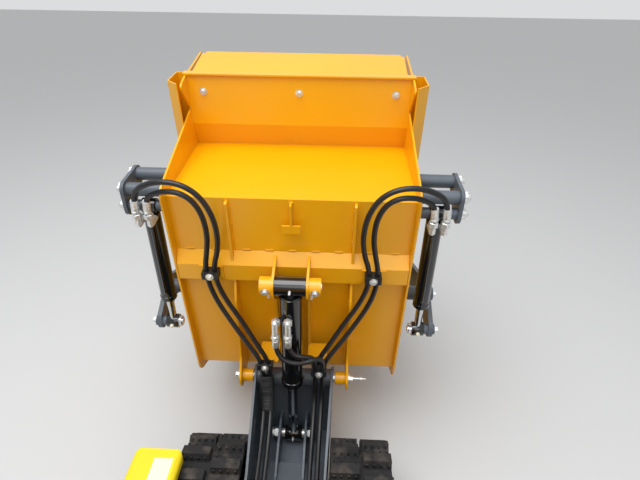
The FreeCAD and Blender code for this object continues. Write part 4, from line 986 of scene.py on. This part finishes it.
class DUMPER_OT_cowl_trim(Piece, bpy.types.Operator):
    """Louvre lips, cover bolts, latch, blank strip and lever boots at the operator's end"""
    bl_idname = "dumper.cowl_trim"
    bl_label = "Cowl trim"

    def execute(self, context):
        low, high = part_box("cowl")
        lip = block(0.006, 0.19, 0.004, 0.0012)
        first_z, pitch, lean, count = low.z + 0.131, 0.034, 0.5, 7
        lips = [Matrix.Translation((side * (high.x + 0.002), low.y + 0.155, first_z + pitch * i))
                @ Matrix.Rotation(side * lean, 4, "Y") for side in (-1, 1) for i in range(count)]
        show_stamped("cowl_louvre_lips", lip, lips, "yellow_paint", "root")

        def on_rear_wall(x, z, turn=0.0):
            """Matrix at a place on the cowl's rear wall, facing the operator."""
            return aimed(Vector((x, low.y, z)), (0, -1, 0), turn)

        bolts_z = low.z + 0.035
        places = [aimed(Vector((side * high.x, y, bolts_z)), (side, 0, 0), 0.2)
                  for side in (-1, 1) for y in (low.y + 0.05, (low.y + high.y) / 2, high.y - 0.05)]
        places += [on_rear_wall(x, bolts_z, 0.2) for x in (-0.25, 0.25)]
        bolt = hex_bolt(context.scene.dumper_sizes.bolt_flats)
        show_plated("root", ("cowl_bolts", bolt, places))
        strip = block(0.30, 0.06, 0.0012, 0.0004)
        show_stamped("cowl_blank_strip", strip, [on_rear_wall(0, high.z - 0.09)], "pale_film",
                     "root")
        at = on_rear_wall(0, high.z - 0.25)
        latch = turned([(0, 0), (0.016, 0), (0.016, 0.006), (0.006, 0.008), (0.006, 0.018),
                        (0, 0.018)])
        show_plated("root", ("cowl_latch", latch, [at]))
        wing = block(0.034, 0.008, 0.01, 0.002, 0.012)
        show_stamped("cowl_latch_wing", wing, [at], "black_plastic", "root")
        boot = turned([(0, 0), (0.024, 0), (0.024, 0.003), (0.018, 0.006), (0.0195, 0.010),
                       (0.014, 0.013), (0.0155, 0.017), (0.010, 0.021), (0.0072, 0.024),
                       (0, 0.024)])
        boots = [aimed(chassis_place(x, LEVER_Y, high.z + 0.067), (0, -0.1, 1)) for x in LEVERS_X]
        show_stamped("lever_boots", boot, boots, "black_plastic", "root")
        return {"FINISHED"}


class DUMPER_OT_step_tread(Piece, bpy.types.Operator):
    """Raised studs on the operator's step"""
    bl_idname = "dumper.step_tread"
    bl_label = "Step tread"

    def execute(self, context):
        stud = turned([(0.011, -0.0005), (0.0085, 0.0018), (0.0062, 0.0018), (0.0045, -0.0005),
                       (0.011, -0.0005)], 12)
        top, first_x, first_y = HINGE.z - 0.212, -0.198, -1.712
        places = [Matrix.Translation(chassis_place(first_x + 0.036 * k, first_y + 0.035 * i, top))
                  for i in range(7) for k in range(12)]
        show_stamped("step_studs", stud, places, "dark_paint", "step")
        return {"FINISHED"}


# Stage
FOCAL_PX, IMAGE_WIDTH_PX, SENSOR_MM = 444.0, 640, 36.0
CAMERA_PITCH, CAMERA_YAW, CAMERA_ROLL = 31.35, 1.7, -0.8
CAMERA_X, CAMERA_BEHIND_HINGE, CAMERA_Z = 0.118, 1.100, 1.615


def place_camera():
    pitch, yaw, roll = (math.radians(a) for a in (CAMERA_PITCH, CAMERA_YAW, CAMERA_ROLL))
    ahead = Vector((-math.sin(yaw) * math.cos(pitch), math.cos(yaw) * math.cos(pitch),
                    -math.sin(pitch)))
    level = Vector((math.cos(yaw), math.sin(yaw), 0))
    plumb = ahead.cross(level)
    right = level * math.cos(roll) + plumb * math.sin(roll)
    down = plumb * math.cos(roll) - level * math.sin(roll)
    lens = bpy.data.cameras.new("camera")
    lens.sensor_width = SENSOR_MM
    lens.lens = FOCAL_PX / IMAGE_WIDTH_PX * SENSOR_MM
    lens.clip_start = 0.05
    camera = bpy.data.objects.new("camera", lens)
    bpy.context.scene.collection.objects.link(camera)
    turn = Matrix((right, -down, -ahead)).transposed().to_4x4()
    place = chassis_place(CAMERA_X, -CAMERA_BEHIND_HINGE, CAMERA_Z)
    camera.matrix_world = Matrix.Translation(place) @ turn
    bpy.context.scene.camera = camera


def place_lamp(name, place, target, size, power):
    lamp = bpy.data.lights.new(name, "AREA")
    lamp.shape = "DISK"
    lamp.size = size
    lamp.energy = power
    holder = bpy.data.objects.new(name, lamp)
    bpy.context.scene.collection.objects.link(holder)
    holder.matrix_world = aimed(Vector(place), Vector(place) - Vector(target))


def light_world(tone, low, high):
    """Soft light, stronger from above, and a pale background for camera, gloss and glass."""
    world = bpy.data.worlds.new("studio")
    bpy.context.scene.world = world
    world.use_nodes = True
    tree = world.node_tree
    tree.nodes.clear()
    path = add_node(tree, "ShaderNodeLightPath")
    seen = path.outputs["Is Camera Ray"]
    for ray in ("Is Glossy Ray", "Is Transmission Ray"):
        seen = add_node(tree, "ShaderNodeMath", links={0: seen, 1: path.outputs[ray]},
                        operation="ADD", use_clamp=True).outputs[0]
    coords = add_node(tree, "ShaderNodeTexCoord")
    split = add_node(tree, "ShaderNodeSeparateXYZ", links={"Vector": coords.outputs["Generated"]})
    level = add_node(tree, "ShaderNodeMapRange",
                     {"From Min": 0.0, "From Max": 1.0, "To Min": low, "To Max": high},
                     {"Value": split.outputs["Z"]})
    even = add_node(tree, "ShaderNodeBackground", {"Color": (1, 1, 1, 1)},
                    {"Strength": level.outputs["Result"]})
    pale = add_node(tree, "ShaderNodeBackground", {"Color": (*tone, 1), "Strength": 1.0})
    mix = add_node(tree, "ShaderNodeMixShader",
                   links={0: seen, 1: even.outputs[0], 2: pale.outputs[0]})
    add_node(tree, "ShaderNodeOutputWorld", links={"Surface": mix.outputs[0]})


class DUMPER_OT_stage(Piece, bpy.types.Operator):
    """Pale floor, soft light and the camera"""
    bl_idname = "dumper.stage"
    bl_label = "Stage"

    def execute(self, context):
        tone = context.scene.dumper_colours.floor
        bm = bmesh.new()
        bmesh.ops.create_grid(bm, x_segments=1, y_segments=1, size=20)
        mesh = mesh_of(bm, "floor")
        mesh.materials.append(even_finish("Floor pale concrete", shade(tone, 0.86), 0.6))
        floor = bpy.data.objects.new("floor", mesh)
        context.scene.collection.objects.link(floor)
        light_world(tone, 0.26, 0.85)
        place_lamp("overhead", (-0.6, -0.4, 4.2), (0, 0.2, 0.4), 3.2, 125)
        place_lamp("behind_operator", (0.6, -3.4, 3.4), (0, 0.3, 0.6), 3.0, 34)
        place_camera()
        context.scene.view_settings.view_transform = "Standard"
        return {"FINISHED"}


OPERATORS = (
    DUMPER_OT_finishes, DUMPER_OT_side_hoses, DUMPER_OT_tip_hoses, DUMPER_OT_frame_hoses,
    DUMPER_OT_hose_wrap, DUMPER_OT_hose_fittings, DUMPER_OT_skip_welds, DUMPER_OT_shovel_welds,
    DUMPER_OT_bolts, DUMPER_OT_wheel_bolts, DUMPER_OT_grease_points, DUMPER_OT_cylinder_trim,
    DUMPER_OT_track_tread, DUMPER_OT_tank_trim, DUMPER_OT_cowl_trim, DUMPER_OT_step_tread,
    DUMPER_OT_stage)


class DUMPER_PT_panel(bpy.types.Panel):
    """Buttons and settings for the dumper's finish"""
    bl_label = "Dumper"
    bl_idname = "DUMPER_PT_panel"
    bl_space_type = "VIEW_3D"
    bl_region_type = "UI"
    bl_category = "Dumper"

    def draw(self, context):
        for group in (context.scene.dumper_colours, context.scene.dumper_sizes):
            box = self.layout.box()
            for name in group.__annotations__:
                box.prop(group, name)
        for operator in OPERATORS:
            self.layout.operator(operator.bl_idname)


CLASSES = (DumperColours, DumperSizes, *OPERATORS, DUMPER_PT_panel)


def register():
    for cls in CLASSES:
        bpy.utils.register_class(cls)
    bpy.types.Scene.dumper_colours = PointerProperty(type=DumperColours)
    bpy.types.Scene.dumper_sizes = PointerProperty(type=DumperSizes)


def unregister():
    del bpy.types.Scene.dumper_sizes
    del bpy.types.Scene.dumper_colours
    for cls in reversed(CLASSES):
        bpy.utils.unregister_class(cls)


def main():
    register()
    for operator in OPERATORS:
        group, name = operator.bl_idname.split(".")
        getattr(getattr(bpy.ops, group), name)()


if __name__ == "__main__":
    main()
